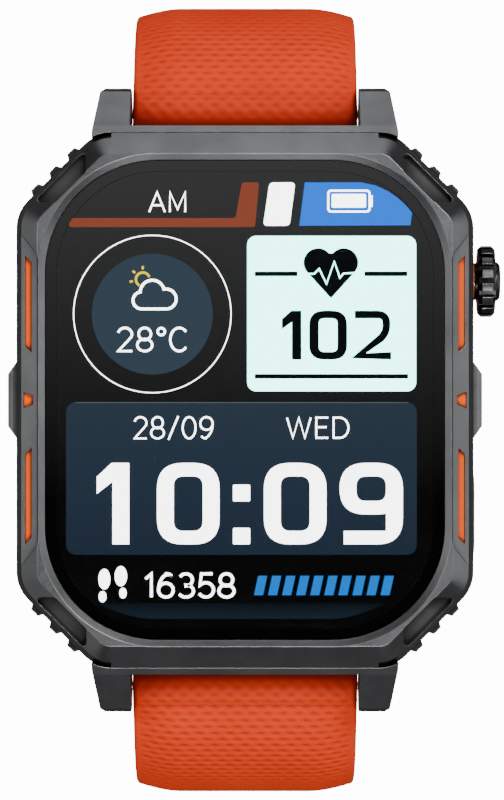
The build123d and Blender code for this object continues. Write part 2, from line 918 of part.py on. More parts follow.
with BuildPart() as crown_tube:
    extrude(
        disc(tube_inner_end, crown_y, tube_radius, stem_radius + running_clearance),
        amount=tube_length,
    )
save(crown_tube, "crown_tube")

with BuildPart() as crown_accent_ring:
    extrude(disc(body_side, crown_y, accent_ring_radius, tube_radius), accent_ring_thickness)
save(crown_accent_ring, "crown_accent_ring")

with BuildPart() as crown_knob:
    extrude(disc(knob_back, crown_y, crown_radius), crown_thickness)
    chamfer(crown_knob.edges().filter_by(GeomType.CIRCLE), crown_edge)
    extrude(disc(knob_back - crown_boss, crown_y, tube_radius - 0.2), crown_boss + 0.05)
    with BuildSketch(Plane.YZ.offset(knob_back)):
        with Locations((crown_y, control_height)):
            with PolarLocations(crown_radius - notch_depth / 2, crown_notches):
                Rectangle(notch_depth + 0.01, notch_width)
    extrude(amount=crown_thickness, mode=Mode.SUBTRACT)
    extrude(
        disc(knob_back - 1, crown_y, stem_radius),
        crown_thickness - 0.55 + 1,
        mode=Mode.SUBTRACT,
    )
    extrude(disc(knob_front - 0.35, crown_y, crown_cap_radius), 1, mode=Mode.SUBTRACT)
save(crown_knob, "crown_knob")

with BuildPart() as crown_cap:
    extrude(disc(knob_front - 0.35, crown_y, crown_cap_radius), amount=0.35 + crown_cap_proud)
    fillet(crown_cap.faces().sort_by(Axis.X)[-1].edges(), crown_cap_proud - 0.05)
save(crown_cap, "crown_cap")

gasket_x = body_side - 1.6
crown_axis = Axis((0, crown_y, control_height), (1, 0, 0))
with BuildPart() as crown_stem:
    extrude(disc(stem_back, crown_y, stem_radius), stem_length)
    extrude(disc(gasket_x - 0.2, crown_y, stem_radius, 0.62), 0.4, mode=Mode.SUBTRACT)
save(crown_stem, "crown_stem")

with BuildPart() as crown_gasket:
    with BuildSketch(Plane.XY.offset(control_height)):
        with Locations((gasket_x, crown_y + 0.78)):
            Circle(0.16)
    revolve(axis=crown_axis)
save(crown_gasket, "crown_gasket")

with BuildPart() as crown_thrust_cup:
    extrude(disc(cup_back, crown_y, tube_radius - 0.4), tube_inner_end - 0.05 - cup_back)
    extrude(
        disc(stem_back - running_clearance, crown_y, stem_radius + running_clearance),
        5,
        mode=Mode.SUBTRACT,
    )
save(crown_thrust_cup, "crown_thrust_cup")

crown_switch_face = cup_back - 1.4
with BuildPart() as crown_switch:
    with BuildSketch(Plane.XY.offset(board_bottom - 3.4)):
        with Locations((crown_switch_face - 0.8, crown_y)):
            Rectangle(1.6, 4)
    extrude(amount=3.4)
    extrude(disc(crown_switch_face, crown_y, 0.6), amount=0.6)
save(crown_switch, "crown_switch")

crown_spring = coil(
    Vector(crown_switch_face + 0.01, crown_y, control_height), 1.1, 0.12, 1.37, 3.5
)
save(crown_spring, "crown_spring")

# ---------------------------------------------------------------- button
cap_front = body_side + button_proud
cap_back = cap_front - button_thickness
plunger_back = cap_back - plunger_length
clip_x = body_side - button_wall_inner - 0.4
with BuildPart() as button_cap:
    extrude(pill(cap_back, 0), amount=button_thickness)
    fillet(button_cap.faces().sort_by(Axis.X)[-1].edges(), 0.3)
    extrude(disc(plunger_back, button_y, plunger_radius), amount=plunger_length)
    extrude(disc(clip_x, button_y, plunger_radius, 0.5), amount=0.3, mode=Mode.SUBTRACT)
    extrude(disc(clip_x + 1.2, button_y, plunger_radius, 0.45), amount=0.3, mode=Mode.SUBTRACT)
save(button_cap, "button_cap")

with BuildPart() as button_clip:
    extrude(disc(clip_x, button_y, 1.3, 0.5), amount=0.3)
save(button_clip, "button_clip")

with BuildPart() as button_seal:
    with BuildSketch(Plane.XY.offset(control_height)):
        with Locations((clip_x + 1.35, button_y + 0.58)):
            Circle(0.13)
    revolve(axis=Axis((0, button_y, control_height), (1, 0, 0)))
save(button_seal, "button_seal")

button_spring = coil(
    Vector(body_side - button_wall_outer + 0.01, button_y, control_height),
    1.0,
    0.1,
    cap_back - body_side + button_wall_outer - 0.02,
    2.5,
)
save(button_spring, "button_spring")

button_switch_face = plunger_back - button_travel - 0.1
with BuildPart() as button_switch:
    with BuildSketch(Plane.XY.offset(board_bottom - 3.4)):
        with Locations((button_switch_face - 1.1, button_y)):
            Rectangle(2.2, 4)
    extrude(amount=3.4)
save(button_switch, "button_switch")

# ---------------------------------------------------------------- strap, drawn on the +Y side
def strap_path(straight, tail):
    """The middle line of a strap half, from its spring bar: a bend, a lean and a straight run."""
    start = (cos(radians(-strap_start_angle)), sin(radians(-strap_start_angle)))
    with BuildLine(Plane.YZ) as line:
        bend = JernArc((bar_y, bar_height), start, bend_radius, strap_start_angle - 90)
        lean = JernArc(bend @ 1, bend % 1, lean_radius, -lean_angle)
        run = PolarLine(lean @ 1, straight, direction=lean % 1)
        if tail:
            curl = JernArc(run @ 1, run % 1, curl_radius, -curl_angle)
            PolarLine(curl @ 1, tail, direction=curl % 1)
    return line.wire()


def square_plane(line, place):
    """A plane square to the strap: local X is the row's +X and local Y points to the wrist."""
    return Plane(origin=line @ place, x_dir=(1, 0, 0), z_dir=line % place)


def strap_section(plane):
    """The crowned section of the strap, with its outer face on the local -Y side."""
    half, side = strap_thickness / 2, strap_width / 2
    flat = side - strap_edge_width
    with BuildSketch(plane) as section:
        Polygon(
            (-side, half),
            (-side, strap_edge_drop - half),
            (-flat, -half),
            (flat, -half),
            (side, strap_edge_drop - half),
            (side, half),
            align=None,
        )
        fillet(section.vertices().group_by(Axis.X)[0], strap_edge_round)
        fillet(section.vertices().group_by(Axis.X)[-1], strap_edge_round)
    return section.sketch


def keeper_section(plane):
    """The section of a keeper: a rounded frame round the strap, roomier on its outer side."""
    half = strap_thickness / 2
    room_width = strap_width + 2 * keeper_clearance
    room_height = strap_thickness + keeper_clearance + keeper_room
    with BuildSketch(plane) as section:
        with Locations((0, half + keeper_clearance - room_height / 2)):
            RectangleRounded(
                room_width + 2 * keeper_wall, room_height + 2 * keeper_wall, keeper_wall
            )
            RectangleRounded(room_width, room_height, keeper_inner_round, mode=Mode.SUBTRACT)
    return section.sketch


def across(plane, place, radius):
    """A round section square to the row's X, at a distance along a plane's normal."""
    centre = plane.offset(place).origin
    with BuildSketch(Plane.YZ) as section:
        with Locations((centre.Y, centre.Z)):
            Circle(radius)
    return section.sketch


def bar_bore():
    """The hole for the spring bar at a strap root, with the slot for its release knob."""
    root = square_plane(buckle_path, 0)
    with BuildPart() as bore:
        extrude(across(root, 0, bar_radius), amount=strap_width, both=True)
        with BuildSketch(Plane(origin=root.origin, x_dir=(1, 0, 0), z_dir=root.y_dir)):
            with Locations((knob_x - release_travel / 2, 0)):
                SlotOverall(2 * knob_radius + release_travel + 0.6, 2 * knob_radius + 0.3)
        extrude(amount=barrel_radius + 1)
    return bore.part


buckle_path = strap_path(buckle_side_straight, 0)
tip_path = strap_path(tip_side_straight, tip_straight)
root_plane = square_plane(buckle_path, 0)
arc_length = radians(90 - strap_start_angle) * bend_radius + radians(lean_angle) * lean_radius
straight_plane = square_plane(buckle_path, arc_length / buckle_path.length)
end_plane = straight_plane.offset(buckle_side_straight)

with BuildPart() as strap_buckle_side:
    sweep(strap_section(root_plane), path=buckle_path)
    extrude(across(root_plane, 0, barrel_radius), amount=strap_width / 2, both=True)
    extrude(across(end_plane, 0, buckle_barrel_radius), amount=strap_width / 2, both=True)
    add(bar_bore(), mode=Mode.SUBTRACT)
    extrude(across(end_plane, 0, buckle_bar_radius), amount=strap_width, both=True, mode=Mode.SUBTRACT)
    # Slot that lets the tongue swing about the buckle bar
    with BuildSketch(end_plane.offset(-tongue_slot_length)):
        Rectangle(tongue_width + 2 * tongue_clearance, 4 * strap_thickness)
    extrude(amount=2 * tongue_slot_length, mode=Mode.SUBTRACT)
save(strap_buckle_side, "strap_buckle_side")

with BuildPart() as strap_tip_half:
    sweep(strap_section(root_plane), path=tip_path)
    extrude(across(root_plane, 0, barrel_radius), amount=strap_width / 2, both=True)
    add(bar_bore(), mode=Mode.SUBTRACT)
    for number in range(hole_count):
        place = square_plane(tip_path, (arc_length + first_hole + number * hole_pitch) / tip_path.length)
        with BuildSketch(Plane(origin=place.origin, x_dir=(1, 0, 0), z_dir=place.y_dir)):
            RectangleRounded(hole_width, hole_length, hole_round)
        extrude(amount=strap_thickness, both=True, mode=Mode.SUBTRACT)
    # Round the tip
    tip = square_plane(tip_path, 1)
    with BuildSketch(Plane(origin=tip.origin, x_dir=(1, 0, 0), z_dir=tip.y_dir)):
        with Locations((0, 0)):
            Rectangle(2 * strap_width, 2 * strap_width)
        with Locations((0, tip_length / 2)):
            Ellipse((strap_width + tip_spread) / 2, tip_length / 2, mode=Mode.SUBTRACT)
        with Locations((0, tip_length / 2 + strap_width)):
            Rectangle(2 * strap_width, 2 * strap_width, mode=Mode.SUBTRACT)
    extrude(amount=strap_thickness, both=True, mode=Mode.SUBTRACT)

with BuildPart() as strap_tip_side:
    add(strap_tip_half.part.mirror(Plane.XZ))
save(strap_tip_side, "strap_tip_side")

with BuildPart() as fixed_keeper:
    extrude(keeper_section(straight_plane.offset(fixed_keeper_place)), amount=keeper_width)
save(fixed_keeper, "fixed_keeper")

with BuildPart() as free_keeper:
    extrude(keeper_section(straight_plane.offset(free_keeper_place)), amount=keeper_width)
save(free_keeper, "free_keeper")

# ---------------------------------------------------------------- spring bars
pin_tip = lug_inner + pin_reach
bore_start = 0.5
with BuildPart() as bar_tube:
    extrude(across(root_plane, 0, bar_radius), amount=strap_width / 2 - 0.1, both=True)
    with BuildSketch(Plane.YZ.offset(bore_start)):
        with Locations((root_plane.origin.Y, root_plane.origin.Z)):
            Circle(pin_radius + running_clearance)
    extrude(amount=strap_width, mode=Mode.SUBTRACT)
    extrude(across(root_plane, 0, pin_radius).located(Location((-pin_tip, 0, 0))), amount=pin_reach + 0.4)
    with BuildSketch(Plane(origin=root_plane.origin, x_dir=(1, 0, 0), z_dir=root_plane.y_dir)):
        with Locations((knob_x - release_travel / 2, 0)):
            SlotOverall(2 * knob_radius + release_travel + 0.2, 2 * knob_radius + 0.1)
    extrude(amount=barrel_radius, mode=Mode.SUBTRACT)

with BuildPart() as release_pin:
    with BuildSketch(Plane.YZ.offset(knob_x - 1)):
        with Locations((root_plane.origin.Y, root_plane.origin.Z)):
            Circle(pin_radius)
    extrude(amount=pin_tip - knob_x + 1)
    with BuildSketch(Plane(origin=root_plane.origin, x_dir=(1, 0, 0), z_dir=root_plane.y_dir)):
        with Locations((knob_x, 0)):
            Circle(knob_radius)
    extrude(amount=barrel_radius + knob_reach)

release_spring = coil(
    Vector(bore_start + 0.01, bar_y, bar_height), 0.3, 0.08, knob_x - 1 - bore_start - 0.02, 7
)

bar_pieces = (
    (bar_tube, "spring_bar"),
    (release_pin, "release_pin"),
    (release_spring, "release_spring"),
)
for source, label in bar_pieces:
    save(source, f"{label}_upper")
    with BuildPart() as lower:
        add(source.part.mirror(Plane.XZ))
    save(lower, f"{label}_lower")

# ---------------------------------------------------------------- buckle
arm_inner = strap_width / 2 + buckle_arm_gap
arm_outer = arm_inner + buckle_arm_width
crossbar_start = buckle_reach - buckle_crossbar
side_plane = Plane(origin=end_plane.origin, x_dir=end_plane.z_dir, z_dir=(-1, 0, 0))

with BuildPart() as buckle_frame:
    with BuildSketch(Plane(origin=end_plane.origin, x_dir=(1, 0, 0), z_dir=end_plane.y_dir)):
        with Locations((0, -buckle_reach / 2 + 0.75)):
            RectangleRounded(2 * arm_outer, buckle_reach + 1.5, 1.6)
        with Locations((0, -crossbar_start / 2 + 1)):
            RectangleRounded(2 * arm_inner, crossbar_start + 2, 0.6, mode=Mode.SUBTRACT)
        with Locations((0, 3)):
            Rectangle(2 * arm_inner, 6, mode=Mode.SUBTRACT)
    extrude(amount=buckle_thickness / 2, both=True)
    fillet(buckle_frame.edges().filter_by(Axis.X).group_by(SortBy.LENGTH)[-1], 0.5)
    # Holes for the bar's ends and the notch that the tongue rests in
    extrude(
        across(end_plane, 0, pin_radius + running_clearance),
        amount=arm_outer + 1,
        both=True,
        mode=Mode.SUBTRACT,
    )
    with BuildSketch(end_plane.offset(crossbar_start - 1)):
        with Locations((0, -buckle_thickness / 2)):
            Rectangle(tongue_width + 2 * tongue_clearance, 1.3)
    extrude(amount=buckle_crossbar + 2, mode=Mode.SUBTRACT)
save(buckle_frame, "buckle_frame")

with BuildPart() as buckle_bar:
    extrude(across(end_plane, 0, buckle_bar_radius), amount=strap_width / 2, both=True)
    extrude(across(end_plane, 0, pin_radius), amount=arm_outer - 0.2, both=True)
save(buckle_bar, "buckle_bar")

with BuildPart() as buckle_tongue:
    extrude(across(end_plane, 0, buckle_bar_radius + 0.85), amount=tongue_width / 2, both=True)
    with BuildSketch(end_plane):
        with Locations((0, -buckle_thickness / 2 + 0.65 - 0.08 - tongue_thickness / 2)):
            Rectangle(tongue_width, tongue_thickness)
    extrude(amount=buckle_reach - 0.3)
    fillet(buckle_tongue.faces().sort_by(Axis(end_plane.origin, end_plane.z_dir))[-1].edges(), 0.4)
    extrude(
        across(end_plane, 0, buckle_bar_radius + running_clearance),
        amount=strap_width,
        both=True,
        mode=Mode.SUBTRACT,
    )
save(buckle_tongue, "buckle_tongue")
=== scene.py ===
"""Looks of the GPS running watch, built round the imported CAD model.

Lengths in the drawing helpers are millimetres in the row frame; MM turns them into metres.
"""

import json
from math import cos, exp, hypot, pi, radians, sin, sqrt

import bmesh
import bpy
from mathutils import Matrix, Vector


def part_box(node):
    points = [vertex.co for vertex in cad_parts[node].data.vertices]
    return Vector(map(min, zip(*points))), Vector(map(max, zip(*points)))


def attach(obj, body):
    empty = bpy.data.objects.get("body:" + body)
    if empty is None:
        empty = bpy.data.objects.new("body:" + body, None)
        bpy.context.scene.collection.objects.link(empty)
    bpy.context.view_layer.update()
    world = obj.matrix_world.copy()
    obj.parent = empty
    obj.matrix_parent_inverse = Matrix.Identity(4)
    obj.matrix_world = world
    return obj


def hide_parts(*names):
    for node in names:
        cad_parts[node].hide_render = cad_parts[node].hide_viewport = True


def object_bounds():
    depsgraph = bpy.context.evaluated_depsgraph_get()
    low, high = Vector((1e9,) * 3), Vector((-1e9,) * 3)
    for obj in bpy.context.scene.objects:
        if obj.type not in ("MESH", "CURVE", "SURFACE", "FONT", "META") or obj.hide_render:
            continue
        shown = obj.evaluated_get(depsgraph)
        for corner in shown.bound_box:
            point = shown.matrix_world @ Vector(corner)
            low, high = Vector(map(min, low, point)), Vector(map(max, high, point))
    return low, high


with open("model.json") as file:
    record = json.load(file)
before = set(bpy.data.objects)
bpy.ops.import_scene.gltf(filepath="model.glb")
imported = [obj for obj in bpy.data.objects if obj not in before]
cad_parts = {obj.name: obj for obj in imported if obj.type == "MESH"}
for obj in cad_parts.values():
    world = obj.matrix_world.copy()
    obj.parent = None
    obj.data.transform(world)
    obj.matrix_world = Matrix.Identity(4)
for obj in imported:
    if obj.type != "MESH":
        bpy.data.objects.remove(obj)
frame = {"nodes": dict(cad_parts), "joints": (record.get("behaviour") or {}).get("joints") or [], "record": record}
cad_low, cad_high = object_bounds()

MM = 0.001


def mm(vector):
    """A point of the frame in millimetres."""
    return Vector(vector) / MM


def joint_place(name):
    """Where a joint's axis passes, in millimetres."""
    return mm(next(j["pos_m"] for j in frame["joints"] if j["name"] == name))


# ---------------------------------------------------------------- materials
def shader(name, **sockets):
    """A Principled material with its constant sockets set."""
    material = bpy.data.materials.new(name)
    material.use_nodes = True
    surface = material.node_tree.nodes["Principled BSDF"]
    for socket, value in sockets.items():
        surface.inputs[socket.replace("_", " ")].default_value = value
    return material


def add_node(material, kind, **settings):
    """A node of that kind: settings that are sockets are set or linked, the rest are properties."""
    tree = material.node_tree
    node = tree.nodes.new("ShaderNode" + kind)
    for name, value in settings.items():
        if hasattr(node, name):
            setattr(node, name, value)
            continue
        key = int(name[1:]) if name[0] == "i" and name[1:].isdigit() else name.replace("_", " ")
        socket = node.inputs[key]
        if isinstance(value, bpy.types.NodeSocket):
            tree.links.new(value, socket)
        else:
            socket.default_value = value
    return node


def object_place(material):
    """The row-frame position, which doesn't depend on UVs."""
    return add_node(material, "TexCoord").outputs["Object"]


def noise(material, size, detail=3.0, roughness=0.55, place=None):
    """Noise whose features are about size millimetres across."""
    return add_node(
        material,
        "TexNoise",
        Vector=place or object_place(material),
        Scale=1 / (size * MM),
        Detail=detail,
        Roughness=roughness,
    ).outputs["Fac"]


def spread(material, factor, low, high, out_low, out_high):
    """Factor between low and high, as a value between out_low and out_high."""
    return add_node(
        material,
        "MapRange",
        Value=factor,
        From_Min=low,
        From_Max=high,
        To_Min=out_low,
        To_Max=out_high,
    ).outputs["Result"]


def mix(material, factor, first, second):
    """A colour between two, by a factor."""
    node = add_node(material, "Mix", data_type="RGBA")
    for socket, value in (("Factor", factor), ("A", first), ("B", second)):
        inputs = [s for s in node.inputs if s.name == socket and s.enabled]
        if isinstance(value, bpy.types.NodeSocket):
            material.node_tree.links.new(value, inputs[0])
        else:
            inputs[0].default_value = value
    return next(s for s in node.outputs if s.name == "Result" and s.enabled)


def plug(material, socket, value):
    """Links a value to a socket of the material's surface."""
    surface = material.node_tree.nodes["Principled BSDF"]
    material.node_tree.links.new(value, surface.inputs[socket])


def bump(material, height, distance, normal=None):
    """A bump of that many millimetres."""
    node = add_node(material, "Bump", Height=height, Distance=distance * MM, Strength=1.0)
    if normal is not None:
        material.node_tree.links.new(normal, node.inputs["Normal"])
    return node.outputs["Normal"]


def edge_mask(material, radius):
    """Softened normals and a mask that is 1 along edges and 0 on flat faces."""
    rounded = add_node(material, "Bevel", samples=6, Radius=radius * MM).outputs["Normal"]
    true_normal = add_node(material, "NewGeometry").outputs["Normal"]
    dot = add_node(material, "VectorMath", operation="DOT_PRODUCT", i0=rounded, i1=true_normal)
    return rounded, spread(material, dot.outputs["Value"], 0.99, 0.86, 0.0, 1.0)


def painted_shade_mask(material, reach, low, high):
    """Mask for painted shade: 1 in the open, falling to 0 in recesses about reach millimetres deep."""
    node = add_node(material, "AmbientOcclusion", samples=8, Distance=reach * MM)
    return spread(material, node.outputs["AO"], low, high, 0.0, 1.0)


def metal(name, colour, worn, roughness, grain=0.16, grain_depth=0.004, edge=0.14, shade=0.18):
    """Bead-blasted metal: fine grain, cloudy tone, edges rubbed brighter and smoother, and painted shade darkening
    its recesses.
    """
    material = shader(name, Metallic=1.0, Specular_IOR_Level=0.5)
    fine = noise(material, grain, 2.0)
    cloudy = noise(material, 5.0, 3.0)
    rounded, edges = edge_mask(material, edge)
    broken = spread(material, noise(material, 0.9, 4.0), 0.42, 0.62, 0.35, 1.0)
    rub = add_node(material, "Math", operation="MULTIPLY", i0=edges, i1=broken).outputs[0]
    dark = tuple(0.82 * c for c in colour[:3]) + (1,)
    light = tuple(min(1, 1.14 * c) for c in colour[:3]) + (1,)
    tone = mix(material, spread(material, cloudy, 0.35, 0.65, 0.0, 1.0), dark, light)
    speckle = mix(material, spread(material, fine, 0.3, 0.7, 0.0, 0.35), tone, light)
    finish = mix(material, rub, speckle, worn)
    # Painted shade: in recesses the colour falls to deep, which is shade times the colour.
    deep = tuple(shade * c for c in colour[:3]) + (1,)
    plug(material, "Base Color", mix(material, painted_shade_mask(material, 1.8, 0.42, 0.88), deep, finish))
    plug(material, "Roughness", spread(material, fine, 0.3, 0.7, roughness - 0.05, roughness + 0.07))
    plug(material, "Normal", bump(material, fine, grain_depth, rounded))
    return material


def steel(name, colour, roughness):
    """Drawn steel: fine lines along one direction."""
    material = shader(name, Metallic=1.0)
    place = add_node(material, "Mapping", Vector=object_place(material))
    place.inputs["Scale"].default_value = (0.08, 1.0, 1.0)
    lines = noise(material, 0.06, 2.0, place=place.outputs["Vector"])
    rounded, edges = edge_mask(material, 0.06)
    light = tuple(min(1, 1.25 * c) for c in colour[:3]) + (1,)
    tone = mix(material, spread(material, lines, 0.3, 0.7, 0.0, 1.0), colour, light)
    plug(material, "Base Color", mix(material, edges, tone, light))
    plug(material, "Roughness", spread(material, lines, 0.3, 0.7, roughness - 0.06, roughness + 0.08))
    plug(material, "Normal", bump(material, lines, 0.001, rounded))
    return material


def plastic(name, colour, roughness, grain=0.12, depth=0.004, edge=0.08, coat=0.0):
    """Moulded plastic or lacquer with a fine spark-eroded grain."""
    material = shader(name, Coat_Weight=coat, Coat_Roughness=0.08, Specular_IOR_Level=0.5)
    fine = noise(material, grain, 3.0)
    cloudy = noise(material, 4.0, 2.0)
    rounded, edges = edge_mask(material, edge)
    dark = tuple(0.86 * c for c in colour[:3]) + (1,)
    light = tuple(min(1, 1.15 * c + 0.01) for c in colour[:3]) + (1,)
    tone = mix(material, spread(material, cloudy, 0.35, 0.65, 0.0, 1.0), dark, colour)
    plug(material, "Base Color", mix(material, edges, tone, light))
    plug(material, "Roughness", spread(material, fine, 0.3, 0.7, roughness - 0.05, roughness + 0.08))
    plug(material, "Normal", bump(material, fine, depth, rounded))
    return material


def silicone(name):
    """Matt silicone with a faint powdery unevenness, painted shade in its dimples and a painted shadow where it
    lies near the case.
    """
    material = shader(name, Specular_IOR_Level=0.1)
    fine = noise(material, 0.07, 3.0)
    cloudy = noise(material, 7.0, 3.0)
    dimple_shade_mask = add_node(material, "Attribute", attribute_name="dimple_shade_mask").outputs["Fac"]
    tone = mix(
        material,
        spread(material, cloudy, 0.3, 0.7, 0.0, 1.0),
        (0.71, 0.042, 0.008, 1),
        (0.79, 0.051, 0.011, 1),
    )
    tone = mix(material, spread(material, fine, 0.35, 0.7, 0.0, 0.2), tone, (0.84, 0.056, 0.006, 1))
    # Painted shade: the dimples darken towards a deep red by their depth.
    deep = spread(material, dimple_shade_mask, 0.0, 1.0, 0.0, 0.6)
    tone = mix(material, deep, tone, (0.52, 0.014, 0.001, 1))
    # Painted shadow: dark red where the strap lies close to the case and lugs.
    near = painted_shade_mask(material, 5.0, 0.3, 0.9)
    plug(material, "Base Color", mix(material, near, (0.28, 0.008, 0.001, 1), tone))
    plug(material, "Roughness", spread(material, fine, 0.3, 0.7, 0.5, 0.66))
    plug(material, "Normal", bump(material, fine, 0.003))
    return material


def lit(name, colour):
    """A lit area of the display, with the faint unevenness of its pixels."""
    material = shader(name, Roughness=0.9, Specular_IOR_Level=0.0, Emission_Strength=1.0)
    material.node_tree.nodes["Principled BSDF"].inputs["Base Color"].default_value = (0.002, 0.002, 0.002, 1)
    pixels = spread(material, noise(material, 0.09, 1.0), 0.35, 0.65, 0.0, 1.0)
    shade = tuple(0.94 * c for c in colour[:3]) + (1,)
    plug(material, "Emission Color", mix(material, pixels, shade, colour))
    return material


def fading_emission(name, high, low, top, bottom):
    """A lit area that fades along Y between two heights in millimetres."""
    material = lit(name, high)
    height = add_node(material, "SeparateXYZ", Vector=object_place(material)).outputs["Y"]
    fade = spread(material, height, top * MM, bottom * MM, 0.0, 1.0)
    pixels = spread(material, noise(material, 0.09, 1.0), 0.35, 0.65, 0.0, 0.06)
    faded = mix(material, fade, high, low)
    plug(material, "Emission Color", mix(material, pixels, faded, high))
    return material


def lacquer(name):
    """Bright lacquer in a groove, shaded towards the groove's walls."""
    material = shader(name, Specular_IOR_Level=0.12, Roughness=0.5)
    fine = noise(material, 0.12, 3.0)
    rounded, edges = edge_mask(material, 0.06)
    deep = (0.3, 0.012, 0.001, 1)
    speckle = spread(material, fine, 0.3, 0.7, 0.0, 1.0)
    tone = mix(material, speckle, (1.0, 0.1, 0.002, 1), (1.0, 0.15, 0.006, 1))
    # Painted shade: the lacquer turns dark red along its edges and towards the groove's walls.
    tone = mix(material, edges, tone, deep)
    plug(material, "Base Color", mix(material, painted_shade_mask(material, 0.5, 0.35, 0.8), deep, tone))
    plug(material, "Normal", bump(material, fine, 0.002, rounded))
    return material


def board(name):
    """Solder-masked circuit board with faint tracks."""
    mask = (0.012, 0.07, 0.035, 1)
    material = plastic(name, mask, 0.35, coat=0.3)
    cells = add_node(
        material, "TexVoronoi", Vector=object_place(material), Scale=900.0, feature="DISTANCE_TO_EDGE"
    ).outputs["Distance"]
    tracks = spread(material, cells, 0.0, 0.08, 1.0, 0.0)
    plug(material, "Base Color", mix(material, tracks, mask, (0.03, 0.16, 0.08, 1)))
    return material


MATERIALS = {
    "bezel_metal": metal("bezel_satin", (0.13, 0.131, 0.134, 1), (0.27, 0.27, 0.275, 1), 0.36),
    "case_metal": metal("case_satin", (0.13, 0.131, 0.134, 1), (0.26, 0.26, 0.265, 1), 0.38),
    "guard_metal": metal("guard_satin", (0.2, 0.2, 0.204, 1), (0.3, 0.3, 0.3, 1), 0.4),
    "accent_orange": lacquer("accent_lacquer"),
    "strap_silicone": silicone("strap_silicone"),
    "rear_plastic": plastic("rear_plastic", (0.018, 0.018, 0.02, 1), 0.5, grain=0.2, depth=0.01),
    "sensor_glass": plastic("sensor_glass", (0.004, 0.004, 0.006, 1), 0.12, depth=0.0005, coat=1.0),
    "steel": steel("drawn_steel", (0.5, 0.5, 0.51, 1), 0.26),
    "dark_steel": steel("dark_steel", (0.1, 0.1, 0.105, 1), 0.32),
    "gold": metal("gold_plate", (0.83, 0.58, 0.22, 1), (1.0, 0.8, 0.42, 1), 0.22, grain_depth=0.001),
    "board_green": board("circuit_board"),
    "chip_black": plastic("chip_epoxy", (0.015, 0.015, 0.016, 1), 0.5),
    "battery_wrap": metal("battery_foil", (0.6, 0.6, 0.62, 1), (0.8, 0.8, 0.8, 1), 0.3),
    "flex_amber": plastic("flex_amber", (0.35, 0.13, 0.02, 1), 0.35),
    "gasket_black": plastic("gasket_rubber", (0.012, 0.012, 0.012, 1), 0.65),
    "frame_plastic": plastic("inner_plastic", (0.03, 0.03, 0.032, 1), 0.5),
    "ceramic": plastic("aerial_ceramic", (0.6, 0.55, 0.46, 1), 0.5),
    "led": plastic("led_lens", (0.35, 0.6, 0.3, 1), 0.2, coat=0.6),
}
MATERIALS["glass"] = shader(
    "cover_glass", Roughness=0.02, Transmission_Weight=1.0, IOR=1.5, Base_Color=(0.93, 0.94, 0.95, 1)
)
smears = noise(MATERIALS["glass"], 11.0, 3.0)
plug(MATERIALS["glass"], "Roughness", spread(MATERIALS["glass"], smears, 0.4, 0.7, 0.012, 0.05))
MATERIALS["crown_metal"] = metal("crown_satin", (0.06, 0.06, 0.062, 1), (0.4, 0.4, 0.41, 1), 0.3)
# Painted reflection: the display's black emits a grey sheen that fades to black downwards.
MATERIALS["display"] = fading_emission(
    "display_painted_sheen", (0.046, 0.046, 0.047, 1), (0.0, 0.0, 0.0, 1), 21.0, -9.0
)

GRIP_METAL = metal("grip_satin", (0.055, 0.055, 0.057, 1), (0.16, 0.16, 0.16, 1), 0.42)

slots = {s["node"]: s["material_slot"] for s in frame["record"]["subparts"]}
for node, part in frame["nodes"].items():
    part.data.materials.clear()
    part.data.materials.append(MATERIALS[slots[node]])
frame["nodes"]["corner_grips"].data.materials[0] = GRIP_METAL
for node in ("crown_knob", "crown_cap"):
    frame["nodes"][node].data.materials[0] = MATERIALS["crown_metal"]


# ---------------------------------------------------------------- mesh helpers
def soft_piece(name, points, faces, body):
    """A silicone piece from points in millimetres, riding on a body."""
    mesh = bpy.data.meshes.new(name)
    mesh.from_pydata([Vector(p) * MM for p in points], [], faces)
    mesh.update()
    mesh.polygons.foreach_set("use_smooth", [True] * len(mesh.polygons))
    mesh.materials.append(MATERIALS["strap_silicone"])
    piece = bpy.data.objects.new(name, mesh)
    bpy.context.scene.collection.objects.link(piece)
    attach(piece, body)
    return piece


def close_rings(count, size):
    """Faces between the rings of a tube, which is left open at both ends."""
    faces = []
    for ring in range(count - 1):
        here, there = ring * size, (ring + 1) * size
        for i in range(size):
            j = (i + 1) % size
            faces.append((here + i, here + j, there + j, there + i))
    return faces


def apply_cut(piece, cutter):
    """Cuts one piece with another and removes the cutter."""
    modifier = piece.modifiers.new("cut", "BOOLEAN")
    modifier.object = cutter
    modifier.operation = "DIFFERENCE"
    modifier.solver = "EXACT"
    graph = bpy.context.evaluated_depsgraph_get()
    cut = bpy.data.meshes.new_from_object(piece.evaluated_get(graph))
    piece.modifiers.clear()
    piece.data = cut
    bpy.data.objects.remove(cutter)


# ---------------------------------------------------------------- strap
# Sizes of the strap, along its middle line and across it
STRAP_HALF_WIDTH = 10.25
STRAP_HALF_THICKNESS = 1.5
STRAP_EDGE_WIDTH = 3.25
STRAP_FLAT = STRAP_HALF_WIDTH - STRAP_EDGE_WIDTH
STRAP_EDGE_DROP = 0.85
EDGE_ROUND = 0.5
FACE_HALF = STRAP_HALF_WIDTH - EDGE_ROUND
BARREL = 1.95
BUCKLE_BARREL = 1.9
START_ANGLE = 22.0
BEND_RADIUS = 15.2
LEAN = 12.0
LEAN_RADIUS = 50.0
BUCKLE_RUN = 38.0
TIP_RUN = 36.0
CURL_RADIUS = 34.0
CURL = 72.0
TIP_STRAIGHT = 11.6
TIP_ROUND = 12.3
TIP_FINE = 1.2
ROUND_STEPS = 8
TIP_STEPS = 10
EDGE_STEPS = 5
INNER_STEPS = 12
TEXTURE_PITCH = 1.4
TEXTURE_DEPTH = 0.16
TEXTURE_STEP = TEXTURE_PITCH / 10
TEXTURE_STEP_X = TEXTURE_PITCH / 5
DIMPLE_WIDTH = 0.56
DIMPLE_HEIGHT = 0.3
HOLE_COUNT = 11
HOLE_PITCH = 5.6
FIRST_HOLE = 22.0
HOLE_WIDTH = 2.6
